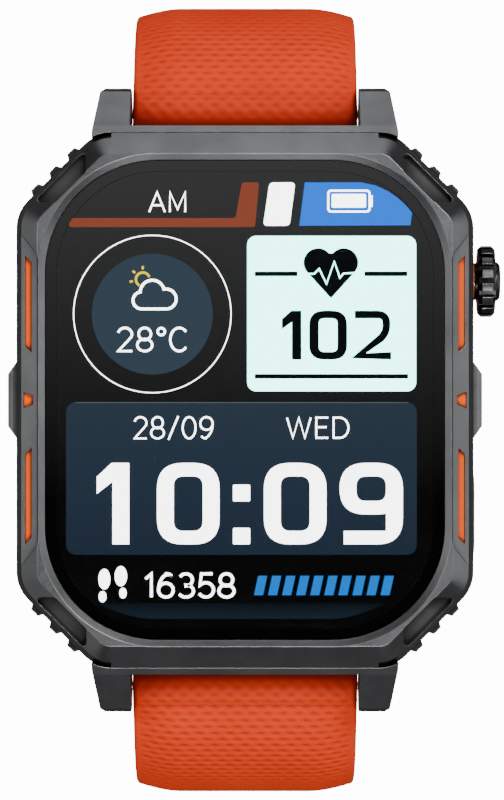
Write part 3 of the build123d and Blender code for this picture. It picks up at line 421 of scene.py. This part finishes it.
HOLE_LENGTH = 3.2
HOLE_ROUND = 0.9
SLOT_HALF_WIDTH = 1.35
SLOT_HALF_LENGTH = 4.5

bar = joint_place("strap_upper_swing")
buckle_bar = joint_place("buckle_swing")


class StrapLine:
    """The middle line of a strap half on the +Y side: runs of (length, radius), 0 for straight."""

    def __init__(self, runs):
        self.runs = runs
        self.length = sum(length for length, _ in runs)

    def at(self, place):
        """The point and the tangent at a distance from the spring bar."""
        y, z, heading = bar.y, bar.z, -radians(START_ANGLE)
        left = place
        for index, (length, radius) in enumerate(self.runs):
            last = index == len(self.runs) - 1
            step = left if last or left < length else length
            if radius and step > 0:
                turn = step / radius
                start = heading
                heading -= turn
                y += radius * (sin(start) - sin(heading))
                z += radius * (cos(heading) - cos(start))
            else:
                y += step * cos(heading)
                z += step * sin(heading)
            left -= step
            if left <= 0:
                break
        return Vector((0, y, z)), Vector((0, cos(heading), sin(heading)))


def outward_of(tangent):
    """The outward normal of a strap half at right angles to its tangent."""
    return Vector((0, -tangent.z, tangent.y))


def bend_runs():
    """The stretch that both strap halves share: over the wrist's edge, then nearly straight down."""
    return [
        (radians(90 - START_ANGLE) * BEND_RADIUS, BEND_RADIUS),
        (radians(LEAN) * LEAN_RADIUS, LEAN_RADIUS),
    ]


BENT = sum(length for length, _ in bend_runs())
buckle_line = StrapLine(bend_runs() + [(BUCKLE_RUN, 0)])
tip_line = StrapLine(
    bend_runs() + [(TIP_RUN, 0), (radians(CURL) * CURL_RADIUS, CURL_RADIUS), (TIP_STRAIGHT, 0)]
)


def ease(value, low, high):
    """0 below low, 1 above high and smooth between."""
    t = min(1, max(0, (value - low) / (high - low)))
    return t * t * (3 - 2 * t)


def edge_drop(x):
    """How far the outer face falls away towards its edges."""
    over = max(0.0, abs(x) - STRAP_FLAT + 0.9)
    reach = STRAP_HALF_WIDTH - STRAP_FLAT + 0.9
    return STRAP_EDGE_DROP * (over / reach) ** 1.7


def dimple(x, place):
    """How deep a point lies in the staggered oval dimples, 0 to 1."""
    deepest = 0.0
    for shift in (0.0, 0.5):
        u = x / TEXTURE_PITCH + shift
        v = place / TEXTURE_PITCH + shift
        du = (u - round(u)) * TEXTURE_PITCH / DIMPLE_WIDTH
        dv = (v - round(v)) * TEXTURE_PITCH / DIMPLE_HEIGHT
        deepest = max(deepest, 1 - ease(hypot(du, dv), 0.15, 1.0))
    return deepest


def strap_sections(total, tip):
    """Distances along a strap half where a section stands, closer together at its ends."""
    places = [-BARREL * cos(pi / 2 * i / ROUND_STEPS) for i in range(ROUND_STEPS)]
    places += [i * TEXTURE_STEP for i in range(int(total / TEXTURE_STEP) + 1)]
    if tip:
        places = [p for p in places if p < total - TIP_FINE]
        places += [total - TIP_FINE * cos(pi / 2 * i / TIP_STEPS) ** 1.5 for i in range(TIP_STEPS + 1)]
    else:
        places = [p for p in places if p < total]
        places += [total + BUCKLE_BARREL * sin(pi / 2 * i / ROUND_STEPS) for i in range(ROUND_STEPS + 1)]
    return places


def half_thickness(place, total, tip):
    """Half the thickness there, swelling to a barrel round each bar."""
    half = STRAP_HALF_THICKNESS
    if place < BARREL:
        barrel = sqrt(max(0, BARREL ** 2 - place ** 2))
        half = barrel if place < 0 else max(half, barrel)
    if not tip and place > total - BUCKLE_BARREL:
        barrel = sqrt(max(0, BUCKLE_BARREL ** 2 - (place - total) ** 2))
        half = barrel if place > total else max(half, barrel)
    return half


def strap_section(place, total, tip):
    """Points (x, height) round the strap there, and how deep each lies in a dimple."""
    half = half_thickness(place, total, tip)
    narrow = 1.0
    if tip and place > total - TIP_ROUND:
        along = min(1, (place - total + TIP_ROUND) / TIP_ROUND)
        narrow = sqrt(max(0, 1 - along ** 2))
        half *= min(1.0, 0.35 + 2.2 * narrow)
    crown = ease(place, 1.0, 3.5)
    marks = ease(place, -1.5, -0.9)
    if tip:
        marks *= 1 - ease(place, total - 3.2, total - 2.2)
    else:
        crown *= 1 - ease(place, total - 4, total - 1)
        marks *= 1 - ease(place, total - 9, total - 8.2)
    columns = int(2 * FACE_HALF / TEXTURE_STEP_X)
    ring = []
    depths = []
    for i in range(columns + 1):
        x = (2 * i / columns - 1) * FACE_HALF
        fade = (1 - ease(abs(x), STRAP_HALF_WIDTH - 0.75, FACE_HALF)) * marks
        deep = fade * dimple(x * narrow, place)
        ring.append((x * narrow, half - crown * edge_drop(x) - TEXTURE_DEPTH * deep))
        depths.append(deep)
    outer_edge = half - crown * edge_drop(FACE_HALF)
    small = min(EDGE_ROUND, (outer_edge + half) / 2)
    reach, wide = FACE_HALF * narrow, EDGE_ROUND * narrow
    turns = [pi / 2 * i / EDGE_STEPS for i in range(1, EDGE_STEPS + 1)]
    side = [(reach + wide * sin(t), outer_edge - small * (1 - cos(t))) for t in turns]
    side += [(reach + wide * sin(t), small * (1 - cos(t)) - half) for t in reversed(turns)]
    ring += side
    ring += [((1 - 2 * i / INNER_STEPS) * FACE_HALF * narrow, -half) for i in range(INNER_STEPS + 1)]
    ring += [(-x, height) for x, height in reversed(side)]
    return ring, depths + [0.0] * (len(ring) - len(depths))


def finish_mesh(piece, pinched=False):
    """Turns the faces outward, and first merges and fills pinched ends."""
    mesh = bmesh.new()
    mesh.from_mesh(piece.data)
    if pinched:
        bmesh.ops.remove_doubles(mesh, verts=mesh.verts, dist=0.004 * MM)
        bmesh.ops.holes_fill(mesh, edges=[e for e in mesh.edges if e.is_boundary], sides=0)
    bmesh.ops.recalc_face_normals(mesh, faces=mesh.faces)
    mesh.to_mesh(piece.data)
    mesh.free()


def strap_half(name, line, body, mirrored, tip):
    """One strap half as a single closed skin with its dimples."""
    total = line.length
    points = []
    cavities = []
    places = strap_sections(total, tip)
    for place in places:
        origin, tangent = line.at(min(place, total))
        if place > total:
            origin = origin + tangent * (place - total)
        outward = outward_of(tangent)
        ring, depths = strap_section(place, total, tip)
        cavities += depths
        for x, height in ring:
            point = origin + outward * height
            points.append((x, -point.y if mirrored else point.y, point.z))
    faces = close_rings(len(places), len(points) // len(places))
    if not mirrored:
        faces = [tuple(reversed(face)) for face in faces]
    piece = soft_piece(name, points, faces, body)
    # Dimple depth per point, read by the strap material for its painted dimple shade.
    dimple_shade_mask = piece.data.attributes.new("dimple_shade_mask", "FLOAT", "POINT")
    dimple_shade_mask.data.foreach_set("value", cavities)
    finish_mesh(piece, pinched=True)
    piece.data.polygons.foreach_set("use_smooth", [True] * len(piece.data.polygons))
    return piece


def prism(name, outline, origin, x_axis, y_axis, depth):
    """A closed prism of a flat outline about a plane, used as a cutter."""
    normal = x_axis.cross(y_axis)
    count = len(outline)
    points = []
    for side in (-1, 1):
        points += [origin + x_axis * x + y_axis * y + normal * (side * depth) for x, y in outline]
    faces = [tuple(range(count - 1, -1, -1)), tuple(range(count, 2 * count))]
    faces += [(i, (i + 1) % count, count + (i + 1) % count, count + i) for i in range(count)]
    mesh = bpy.data.meshes.new(name)
    mesh.from_pydata([p * MM for p in points], [], faces)
    cutter = bpy.data.objects.new(name, mesh)
    bpy.context.scene.collection.objects.link(cutter)
    return cutter


def rounded_outline(width, height, radius, steps=6, centre=(0, 0)):
    """A rectangle with rounded corners."""
    outline = []
    for quarter, (sx, sy) in enumerate(((1, 1), (-1, 1), (-1, -1), (1, -1))):
        for i in range(steps + 1):
            turn = pi / 2 * (quarter + i / steps)
            outline.append((
                centre[0] + sx * (width / 2 - radius) + radius * cos(turn),
                centre[1] + sy * (height / 2 - radius) + radius * sin(turn),
            ))
    return outline


def box_loop(x0, y0, x1, y1, radius=0.0):
    """A rectangle between two corners."""
    if not radius:
        return [(x0, y0), (x1, y0), (x1, y1), (x0, y1)]
    return rounded_outline(x1 - x0, y1 - y0, radius, centre=((x0 + x1) / 2, (y0 + y1) / 2))


def join(objects):
    """Joins loose meshes into the first."""
    mesh = bmesh.new()
    for thing in objects:
        mesh.from_mesh(thing.data)
    mesh.to_mesh(objects[0].data)
    mesh.free()
    for thing in objects[1:]:
        bpy.data.objects.remove(thing)
    return objects[0]


X_AXIS = Vector((1, 0, 0))
upper = strap_half("strap_upper_skin", buckle_line, "strap_upper", mirrored=False, tip=False)
_, end_tangent = buckle_line.at(buckle_line.length)
tongue_slot = prism(
    "tongue_slot",
    box_loop(-SLOT_HALF_WIDTH, -SLOT_HALF_LENGTH, SLOT_HALF_WIDTH, SLOT_HALF_LENGTH),
    buckle_bar,
    X_AXIS,
    end_tangent,
    4,
)
apply_cut(upper, tongue_slot)
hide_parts("strap_buckle_side")

lower = strap_half("strap_lower_skin", tip_line, "strap_lower", mirrored=True, tip=True)
holes = []
for number in range(HOLE_COUNT):
    point, tangent = tip_line.at(BENT + FIRST_HOLE + number * HOLE_PITCH)
    point.y, tangent.y = -point.y, -tangent.y
    outline = rounded_outline(HOLE_WIDTH, HOLE_LENGTH, HOLE_ROUND)
    holes.append(prism("strap_hole", outline, point, X_AXIS, tangent, 3))
apply_cut(lower, join(holes))
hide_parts("strap_tip_side")


KEEPER_LENGTH = 5.6
KEEPER_WALL = 1.1
KEEPER_ROUND = 0.75
RIB_HEIGHT = 0.16
RIB_WIDTH = 0.38


def keeper_section():
    """Points (along, lift) round the wall: a ribbed outer face with rounded ends, then the inner face."""
    section = []
    for i in range(13):
        along = (i / 12 - 0.5) * 2
        rib = RIB_HEIGHT * exp(-((along / RIB_WIDTH) ** 2))
        lift = KEEPER_WALL / 2 - RIB_HEIGHT - 0.3 * abs(along) ** 6 + rib
        section.append((along * (KEEPER_LENGTH / 2 - 0.02), lift))
    inner = [(-x, 0.25 * abs(x / (KEEPER_LENGTH / 2)) ** 8 - KEEPER_WALL / 2) for x, _ in section]
    return section + inner


def keeper(node, body):
    """A soft loop with rounded edges and a shallow raised rib round its middle."""
    low, high = (mm(corner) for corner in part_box(node))
    centre = (low + high) / 2
    outward = outward_of(end_tangent)
    span = high - low
    tall = (span.z - KEEPER_LENGTH * abs(end_tangent.z)) / abs(outward.z)
    path = rounded_outline(span.x - KEEPER_WALL, tall - KEEPER_WALL, KEEPER_ROUND, steps=8)
    section = keeper_section()
    count, size = len(path), len(section)
    points = []
    for i, here in enumerate(path):
        direction = (Vector(path[(i + 1) % count]) - Vector(path[i - 1])).normalized()
        normal = Vector((direction.y, -direction.x))
        for along, lift in section:
            flat = Vector(here) + normal * lift
            points.append(centre + X_AXIS * flat.x + outward * flat.y + end_tangent * along)
    faces = close_rings(count, size)
    last = (count - 1) * size
    for i in range(size):
        j = (i + 1) % size
        faces.append((last + i, last + j, j, i))
    piece = soft_piece(node + "_loop", points, faces, body)
    finish_mesh(piece)
    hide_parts(node)


keeper("free_keeper", "keeper")
keeper("fixed_keeper", "strap_upper")

# ---------------------------------------------------------------- display readout
display_high = mm(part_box("display_panel")[1])
READOUT_HEIGHT = display_high.z + 0.015
READOUT_DEPTH = 0.012
shapes = {}


def draw(colour, loops, lift=0):
    """Adds a flat shape, whose inner loops are holes, to the readout of a colour."""
    shapes.setdefault((colour, lift), []).append(loops)


def circle_loop(x, y, radius, steps=72):
    """Points round a circle."""
    turns = [2 * pi * i / steps for i in range(steps)]
    return [(x + radius * cos(t), y + radius * sin(t)) for t in turns]


def arc(x, y, rx, ry, start, end, steps=20):
    """Points along an oval arc, angles in degrees."""
    turns = [radians(start + (end - start) * i / steps) for i in range(steps + 1)]
    return [(x + rx * cos(t), y + ry * sin(t)) for t in turns]


def smoothed(points, radius, closed):
    """A polyline with its corners rounded."""
    if not radius:
        return [Vector(p) for p in points]
    out = []
    count = len(points)
    steps = 8
    for i, point in enumerate(points):
        here = Vector(point)
        if not closed and i in (0, count - 1):
            out.append(here)
            continue
        before = Vector(points[i - 1]) - here
        after = Vector(points[(i + 1) % count]) - here
        start = here + before.normalized() * min(radius, before.length / 2)
        end = here + after.normalized() * min(radius, after.length / 2)
        for k in range(steps + 1):
            t = k / steps
            out.append(start * (1 - t) ** 2 + here * (2 * t * (1 - t)) + end * t ** 2)
    return out


SAME_PLACE = 1e-9


def ribbon(points, width, radius=0.0, closed=False):
    """The outline of a line of that width."""
    path = smoothed(points, radius, closed)
    count = len(path)
    left, right = [], []
    for i, here in enumerate(path):
        before = path[i - 1] if closed or i else here
        after = path[(i + 1) % count] if closed or i < count - 1 else here
        first, second = here - before, after - here
        if first.length <= SAME_PLACE:
            first = second
        if second.length <= SAME_PLACE:
            second = first
        first, second = first.normalized(), second.normalized()
        direction = (first + second).normalized()
        normal = Vector((-direction.y, direction.x))
        reach = width / 2 / max(0.5, Vector((-first.y, first.x)).dot(normal))
        left.append(tuple(here + normal * reach))
        right.append(tuple(here - normal * reach))
    return [left, right] if closed else [left + right[::-1]]


def digit(number, x, y, width, height, stroke, colour, lift=0):
    """A squared bold digit in a box whose lower left corner is x, y."""
    half = stroke / 2
    flat = 0.4 * stroke
    r, t = x + width - half, y + height - flat
    middle = y + height * 0.45
    corner = stroke * 1.15
    bar = 0.8 * stroke

    def frame_loop(low):
        """The outer and the inner outline of a closed figure from that height to the digit's top."""
        inner = [(x + stroke, low + bar), (x + width - stroke, low + bar)]
        inner += [(x + width - stroke, y + height - bar), (x + stroke, y + height - bar)]
        whole = [(x, low), (x + width, low), (x + width, y + height), (x, y + height)]
        return [smoothed(whole, corner * 1.35, True), smoothed(inner, corner * 0.5, True)]

    if number == 0:
        draw(colour, frame_loop(y), lift)
    elif number == 1:
        draw(colour, [[
            (x + width, y), (x + width, y + height), (x + width - stroke * 1.05, y + height),
            (x, y + height * 0.83), (x, y + height * 0.62),
            (x + width - stroke, y + height * 0.77), (x + width - stroke, y),
        ]], lift)
    elif number == 2:
        bends = [(x + 0.1 * stroke, t), (r, t), (r, middle + flat), (x + half, y + flat)]
        path = smoothed(bends, corner * 0.8, False)
        path += [Vector((x + width, y + flat))]
        draw(colour, ribbon([tuple(p) for p in path], bar), lift)
    else:
        draw(colour, frame_loop(middle - bar / 2), lift)
        tail, neck, rise = x + stroke * 0.25, x + width - stroke, y + height * 0.72
        side = [(x + width, rise), (x + width, y), (tail, y), (tail, y + bar), (neck, y + bar), (neck, rise)]
        draw(colour, [[tuple(p) for p in smoothed(side[:3], corner * 1.35, False)] + side[3:]], lift)


# Top bar
rust_bar = [(-15.76, 15.49), (0.9, 15.49), (1.27, 19.5), (-0.27, 19.5), (-0.85, 16.3), (-15.76, 16.3)]
draw("rust", [smoothed(rust_bar, 0.25, True)])
draw("white", [smoothed([(1.63, 15.61), (4.0, 15.61), (4.5, 19.49), (2.2, 19.49)], 0.4, True)])
blue_corner = [(14.82, 15.65), (14.97, 16.77), (14.4, 17.45), (13.7, 18.1), (12.82, 18.7), (11.7, 19.22)]
draw("blue", [[(4.86, 15.61), *blue_corner, (10.4, 19.5), (5.36, 19.5)]])
draw("white", [box_loop(7.37, 16.79, 11.25, 18.84, 0.35), box_loop(7.55, 16.97, 11.07, 18.66, 0.2)], 1)
draw("white", [box_loop(7.76, 17.23, 10.84, 18.46, 0.12)], 1)
draw("white", [box_loop(11.25, 17.3, 11.44, 18.33)], 1)

# Weather dial
RING = (-8.3, 7.7)
draw("white", [circle_loop(*RING, 7.1), circle_loop(*RING, 7.01)])
draw("slate", [circle_loop(*RING, 5.42)])
sun = (-9.15, 10.8)
draw("yellow", ribbon(arc(*sun, 0.62, 0.62, 20, 240, 22), 0.22), 1)
for turn in (90, 140, 190):
    ray = (cos(radians(turn)), sin(radians(turn)))
    draw("yellow", ribbon([(sun[0] + far * ray[0], sun[1] + far * ray[1]) for far in (0.9, 1.2)], 0.2), 1)


def cloud_loop(grow):
    """Outline of three round puffs on a flat base, seen from a point inside them."""
    puffs = [(-9.27, 8.92, 0.88 + grow), (-8.3, 9.65, 1.2 + grow), (-7.05, 9.05, 1.01 + grow)]
    middle = (-8.1, 8.8)
    loop = []
    for i in range(96):
        turn = 2 * pi * i / 96
        dx, dy = cos(turn), sin(turn)
        far = 0.0
        for px, py, radius in puffs:
            ox, oy = middle[0] - px, middle[1] - py
            along = ox * dx + oy * dy
            inside = along ** 2 - (ox ** 2 + oy ** 2 - radius ** 2)
            if inside > 0:
                far = max(far, -along + sqrt(inside))
        floor = (middle[1] - puffs[0][1] + puffs[0][2]) / -dy if dy < -0.02 else 99
        if dy < -0.02 and puffs[0][0] < middle[0] + floor * dx < puffs[2][0]:
            far = floor
        loop.append((middle[0] + min(far, floor) * dx, middle[1] + min(far, floor) * dy))
    return loop


draw("slate", [cloud_loop(0.12)], 2)
draw("white", [cloud_loop(0), cloud_loop(-0.24)], 3)

# Heart rate panel
draw("mint", [box_loop(0.2, 0.78, 15.33, 14.7, 0.8)])


def heart_loop(x, y, width, height):
    """Two round lobes and straight sides that meet in a point."""
    lobe = width * 0.265
    right = arc(x + width / 2 - lobe, y + height / 2 - lobe, lobe, lobe, 140, -42, 24)
    left = [(2 * x - px, py) for px, py in reversed(right)]
    return left + right + [(x, y - height / 2)]


draw("ink", [heart_loop(7.7, 11.35, 4.9, 4.5)[::-1]], 1)
pulse = [(5.0, 11.3), (6.2, 11.3), (6.65, 11.75), (7.3, 10.4)]
pulse += [(8.0, 12.4), (8.5, 10.95), (8.85, 11.35), (10.3, 11.4)]
draw("mint", ribbon(pulse, 0.14), 2)
draw("ink", [box_loop(0.87, 11.09, 4.7, 11.51)], 1)
draw("ink", [box_loop(10.7, 11.09, 14.55, 11.51)], 1)
for number, x, width, stroke in ((1, 3.3, 1.75, 0.85), (0, 5.75, 3.4, 0.86), (2, 9.75, 3.35, 0.86)):
    digit(number, x, 3.62, width, 4.38, stroke, "ink", 1)
draw("ink", [box_loop(0.87, 1.92, 14.62, 2.33)], 1)

# Clock panel
draw("navy", [box_loop(-16.03, -13.87, 15.4, -0.19, 0.9)])
draw("steel_line", [box_loop(-15.2, -0.27, 14.6, -0.19)], 1)
CLOCK_BASE = -12.93
for number, x, width in ((1, -13.27, 2.9), (0, -7.88, 5.6), (0, 1.7, 5.6), (9, 8.48, 5.66)):
    digit(number, x, CLOCK_BASE, width, 7.29, 1.5, "white", 1)
for low, high in ((-9.08, -7.58), (CLOCK_BASE, -11.46)):
    draw("white", [box_loop(-1.07, low, 0.46, high, 0.12)], 1)
# Steps row: soles and heels
for x, y, wide, tall in (
    (-12.6, -16.05, 0.53, 0.92),
    (-12.76, -17.62, 0.35, 0.5),
    (-11.12, -15.78, 0.55, 0.9),
    (-10.93, -17.3, 0.33, 0.48),
):
    draw("white", [arc(x, y, wide, tall, 0, 350, 35)])
BAR_PITCH = 1.26
for number in range(10):
    x = 0.8 + BAR_PITCH * number
    draw("bright_blue", [[(x, -17.49), (x + 0.82, -17.49), (x + 1.2, -15.74), (x + 0.38, -15.74)]])
glow = [(-13.2, -18.2), (12.6, -18.2)]
glow += [(12.6 - 0.5 * i, -18.25 - 1.35 * sin(pi / 2 * i / 10)) for i in range(1, 11)]
glow += [(-8.2 - 0.5 * i, -18.25 - 1.35 * cos(pi / 2 * i / 10)) for i in range(0, 10)]
draw("teal", [glow])

READOUT = {
    "white": lit("readout_white", (7.0, 7.0, 7.0, 1)),
    "rust": lit("readout_rust", (0.346, 0.081, 0.042, 1)),
    "blue": lit("readout_blue", (0.0, 0.27, 1.5, 1)),
    "bright_blue": lit("readout_bright_blue", (0.0, 0.27, 1.05, 1)),
    "yellow": lit("readout_yellow", (1.6, 1.25, 0.0, 1)),
    "slate": lit("readout_slate", (0.045, 0.07, 0.099, 1)),
    "mint": lit("readout_mint", (2.4, 8.6, 7.4, 1)),
    "ink": lit("readout_ink", (0.003, 0.004, 0.005, 1)),
    "navy": fading_emission("readout_navy", (0.031, 0.048, 0.073, 1), (0.017, 0.03, 0.054, 1), -0.2, -13.8),
    "steel_line": lit("readout_line", (0.11, 0.154, 0.202, 1)),
    "teal": fading_emission("readout_teal", (0.003, 0.005, 0.008, 1), (0.01, 0.021, 0.035, 1), -18.0, -19.4),
}


# Strokes of each character in a box 1 high, with its width
GLYPHS = {
    "0": (0.58, [arc(0.29, 0.5, 0.29, 0.5, 90, 450, 40)]),
    "1": (0.3, [[(0.02, 0.78), (0.24, 1.0), (0.24, 0.0)]]),
    "2": (0.56, [arc(0.28, 0.72, 0.27, 0.28, 165, -25, 16) + [(0.02, 0.0), (0.56, 0.0)]]),
    "3": (0.56, [arc(0.27, 0.74, 0.25, 0.26, 150, -90, 16) + arc(0.27, 0.26, 0.29, 0.26, 90, -150, 16)]),
    "5": (0.56, [[(0.52, 1.0), (0.1, 1.0), (0.04, 0.5)] + arc(0.27, 0.31, 0.29, 0.31, 125, -150, 18)]),
    "6": (0.58, [
        arc(0.29, 0.3, 0.28, 0.3, 180, 540, 32),
        arc(0.44, 0.3, 0.43, 0.7, 180, 104, 12) + arc(0.33, 0.8, 0.2, 0.2, 90, 25, 6),
    ]),
    "8": (0.58, [
        arc(0.29, 0.74, 0.24, 0.26, 90, 450, 32),
        arc(0.29, 0.26, 0.29, 0.26, 90, 450, 32),
    ]),
    "9": (0.58, [
        arc(0.29, 0.7, 0.28, 0.3, 0, 360, 32),
        arc(0.14, 0.7, 0.43, 0.7, 0, -76, 12) + arc(0.25, 0.2, 0.2, 0.2, 270, 205, 6),
    ]),
    "/": (0.44, [[(0.0, -0.06), (0.44, 1.04)]]),
    "°": (0.3, [arc(0.15, 0.84, 0.14, 0.15, 0, 360, 24)]),
    "A": (0.7, [[(0.0, 0.0), (0.35, 1.0), (0.7, 0.0)], [(0.12, 0.34), (0.58, 0.34)]]),
    "M": (0.72, [[(0.02, 0.0), (0.02, 1.0), (0.36, 0.14), (0.7, 1.0), (0.7, 0.0)]]),
    "C": (0.68, [arc(0.35, 0.5, 0.35, 0.5, 42, 318, 30)]),
    "W": (0.96, [[(0.0, 1.0), (0.24, 0.0), (0.48, 1.0), (0.72, 0.0), (0.96, 1.0)]]),
    "E": (0.5, [[(0.5, 1.0), (0.02, 1.0), (0.02, 0.0), (0.5, 0.0)], [(0.02, 0.53), (0.44, 0.53)]]),
    "D": (0.62, [[(0.02, 0.0), (0.02, 1.0)] + arc(0.26, 0.5, 0.36, 0.5, 90, -90, 20) + [(0.02, 0.0)]]),
}
GLYPH_SPACE = 0.2


def word(characters, x0, y0, x1, y1, stroke):
    """Draws a word in thin strokes, fitted to a box."""
    total = sum(GLYPHS[c][0] for c in characters) + GLYPH_SPACE * (len(characters) - 1)
    wide = (x1 - x0 - stroke) / total
    tall = y1 - y0 - stroke
    x = x0 + stroke / 2
    for character in characters:
        width, strokes = GLYPHS[character]
        for line in strokes:
            points = [(x + u * wide, y0 + stroke / 2 + v * tall) for u, v in line]
            closed = hypot(points[0][0] - points[-1][0], points[0][1] - points[-1][1]) < 1e-6
            draw("white", ribbon(points[:-1] if closed else points, stroke, closed=closed), 4)
        x += (width + GLYPH_SPACE) * wide


word("AM", -8.66, 16.76, -5.23, 18.7, 0.16)
word("28°C", -11.5, 4.28, -5.02, 6.56, 0.2)
word("28/09", -10.0, -3.52, -2.79, -1.45, 0.16)
word("WED", 3.68, -3.47, 9.35, -1.5, 0.16)
word("16358", -9.07, -17.78, -0.85, -15.44, 0.25)


def flat_mesh(loops, height):
    """Fills loops as one thin plate at a height in millimetres; loops inside others are holes."""
    curve = bpy.data.curves.new("shape", "CURVE")
    curve.dimensions = "2D"
    curve.fill_mode = "BOTH"
    curve.extrude = READOUT_DEPTH / 2 * MM
    for loop in loops:
        spline = curve.splines.new("POLY")
        spline.points.add(len(loop) - 1)
        for point, (x, y) in zip(spline.points, loop):
            point.co = (x * MM, y * MM, 0, 1)
        spline.use_cyclic_u = True
    holder = bpy.data.objects.new("shape", curve)
    bpy.context.scene.collection.objects.link(holder)
    graph = bpy.context.evaluated_depsgraph_get()
    mesh = bpy.data.meshes.new_from_object(holder.evaluated_get(graph))
    bpy.data.objects.remove(holder)
    for vertex in mesh.vertices:
        vertex.co.z += height * MM
    return mesh


def display_piece(name, mesh, material):
    """A plate of the display in one material, riding on the case."""
    mesh.materials.clear()
    mesh.materials.append(material)
    piece = bpy.data.objects.new(name, mesh)
    bpy.context.scene.collection.objects.link(piece)
    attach(piece, "case")


readout = {}
for (colour, lift), groups in shapes.items():
    height = READOUT_HEIGHT + (lift + 0.5) * READOUT_DEPTH
    readout.setdefault(colour, []).extend(flat_mesh(loops, height) for loops in groups)
for colour, meshes in readout.items():
    whole = bmesh.new()
    for mesh in meshes:
        whole.from_mesh(mesh)
        bpy.data.meshes.remove(mesh)
    merged = bpy.data.meshes.new("readout_" + colour)
    bmesh.ops.remove_doubles(whole, verts=whole.verts, dist=0.0005 * MM)
    whole.to_mesh(merged)
    whole.free()
    merged.polygons.foreach_set("material_index", [0] * len(merged.polygons))
    merged.polygons.foreach_set("use_smooth", [False] * len(merged.polygons))
    display_piece("readout_" + colour, merged, READOUT[colour])


# Polariser film over the display, out to the adhesive of the glass; film and adhesive both emit the display's
# painted reflection, a grey sheen fading downwards.
FILM_LIFT = 0.008
film_outline = rounded_outline(33.8, 40.95, 9.2, steps=16)
display_piece("polariser", flat_mesh([film_outline], display_high.z + FILM_LIFT), MATERIALS["display"])
# The glass adhesive ring carries the same painted reflection as the display.
frame["nodes"]["glass_adhesive"].data.materials[0] = MATERIALS["display"]

# ---------------------------------------------------------------- floor, lights, camera
FLOOR_RADIUS = 4.0
FLOOR_GAP = 0.0004
FLOOR_GLOW = 14.0
floor_mesh = bpy.data.meshes.new("floor")
ground = bmesh.new()
bmesh.ops.create_circle(ground, cap_ends=True, segments=96, radius=FLOOR_RADIUS)
for vertex in ground.verts:
    vertex.co.z = cad_low.z - FLOOR_GAP
ground.to_mesh(floor_mesh)
ground.free()
floor = bpy.data.objects.new("floor", floor_mesh)
floor_material = shader("floor_paper", Roughness=0.9, Base_Color=(0.08, 0.08, 0.08, 1))
seen = add_node(floor_material, "LightPath").outputs["Is Camera Ray"]
plug(floor_material, "Emission Strength", spread(floor_material, seen, 0.0, 1.0, 0.0, FLOOR_GLOW))
plug(floor_material, "Emission Color", mix(
    floor_material, noise(floor_material, 60.0), (0.99, 0.99, 0.99, 1), (1, 1, 1, 1)
))
floor_mesh.materials.append(floor_material)
bpy.context.scene.collection.objects.link(floor)


def toward(azimuth, elevation):
    """The direction at an azimuth from +X and an elevation, in degrees."""
    flat = cos(radians(elevation))
    return Vector((flat * cos(radians(azimuth)), flat * sin(radians(azimuth)), sin(radians(elevation))))


# Soft panels of the sky: azimuth, elevation, full and faded half-angles, brightness. The last one darkens.
PANELS = (
    (90, -6, 20, 32, 3.0),
    (0, 0, 20, 34, 1.9),
    (180, 0, 20, 34, 1.25),
    (225, 6, 12, 22, 1.0),
    (0, 34, 12, 22, 1.2),
    (180, 34, 12, 22, 0.9),
    (-90, 32, 14, 24, 0.4),
    (-70, 0, 12, 30, 0.35),
    (0, 90, 8, 20, -0.07),
)
AMBIENT = 0.09

world = bpy.data.worlds.new("studio")
bpy.context.scene.world = world
world.use_nodes = True
sky = add_node(world, "TexCoord").outputs["Generated"]
glow = AMBIENT
for azimuth, elevation, full, faded, brightness in PANELS:
    near = add_node(world, "VectorMath", operation="DOT_PRODUCT", i0=sky, i1=toward(azimuth, elevation))
    panel = spread(
        world, near.outputs["Value"], cos(radians(faded)), cos(radians(full)), 0.0, brightness
    )
    glow = add_node(world, "Math", operation="ADD", i0=glow, i1=panel).outputs[0]
background = world.node_tree.nodes["Background"]
background.inputs["Color"].default_value = (0.97, 0.98, 1.0, 1)
world.node_tree.links.new(glow, background.inputs["Strength"])


def softbox(name, azimuth, elevation, distance, size, power):
    """A square area light that faces the watch."""
    light = bpy.data.lights.new(name, "AREA")
    light.shape = "SQUARE"
    light.size = size
    light.energy = power
    holder = bpy.data.objects.new(name, light)
    holder.location = toward(azimuth, elevation) * distance
    holder.rotation_euler = (-toward(azimuth, elevation)).to_track_quat("-Z", "Y").to_euler()
    bpy.context.scene.collection.objects.link(holder)


softbox("key", 55, 60, 0.6, 0.16, 2.4)
softbox("low_fill", -80, 58, 0.6, 0.16, 2.0)
softbox("left_fill", 165, 62, 0.6, 0.2, 0.7)

CAMERA_DISTANCE = 0.35
FRAME_HEIGHT = 0.0714
CAMERA_RIGHT = 0.00063
bezel_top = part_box("bezel")[1].z
camera_data = bpy.data.cameras.new("camera")
camera_data.sensor_fit = "VERTICAL"
camera_data.sensor_height = 24.0
camera_data.lens = camera_data.sensor_height * CAMERA_DISTANCE / FRAME_HEIGHT
camera_data.clip_start = 0.01
camera_data.clip_end = 20.0
camera = bpy.data.objects.new("camera", camera_data)
camera.location = (CAMERA_RIGHT, 0, bezel_top + CAMERA_DISTANCE)
bpy.context.scene.collection.objects.link(camera)
bpy.context.scene.camera = camera
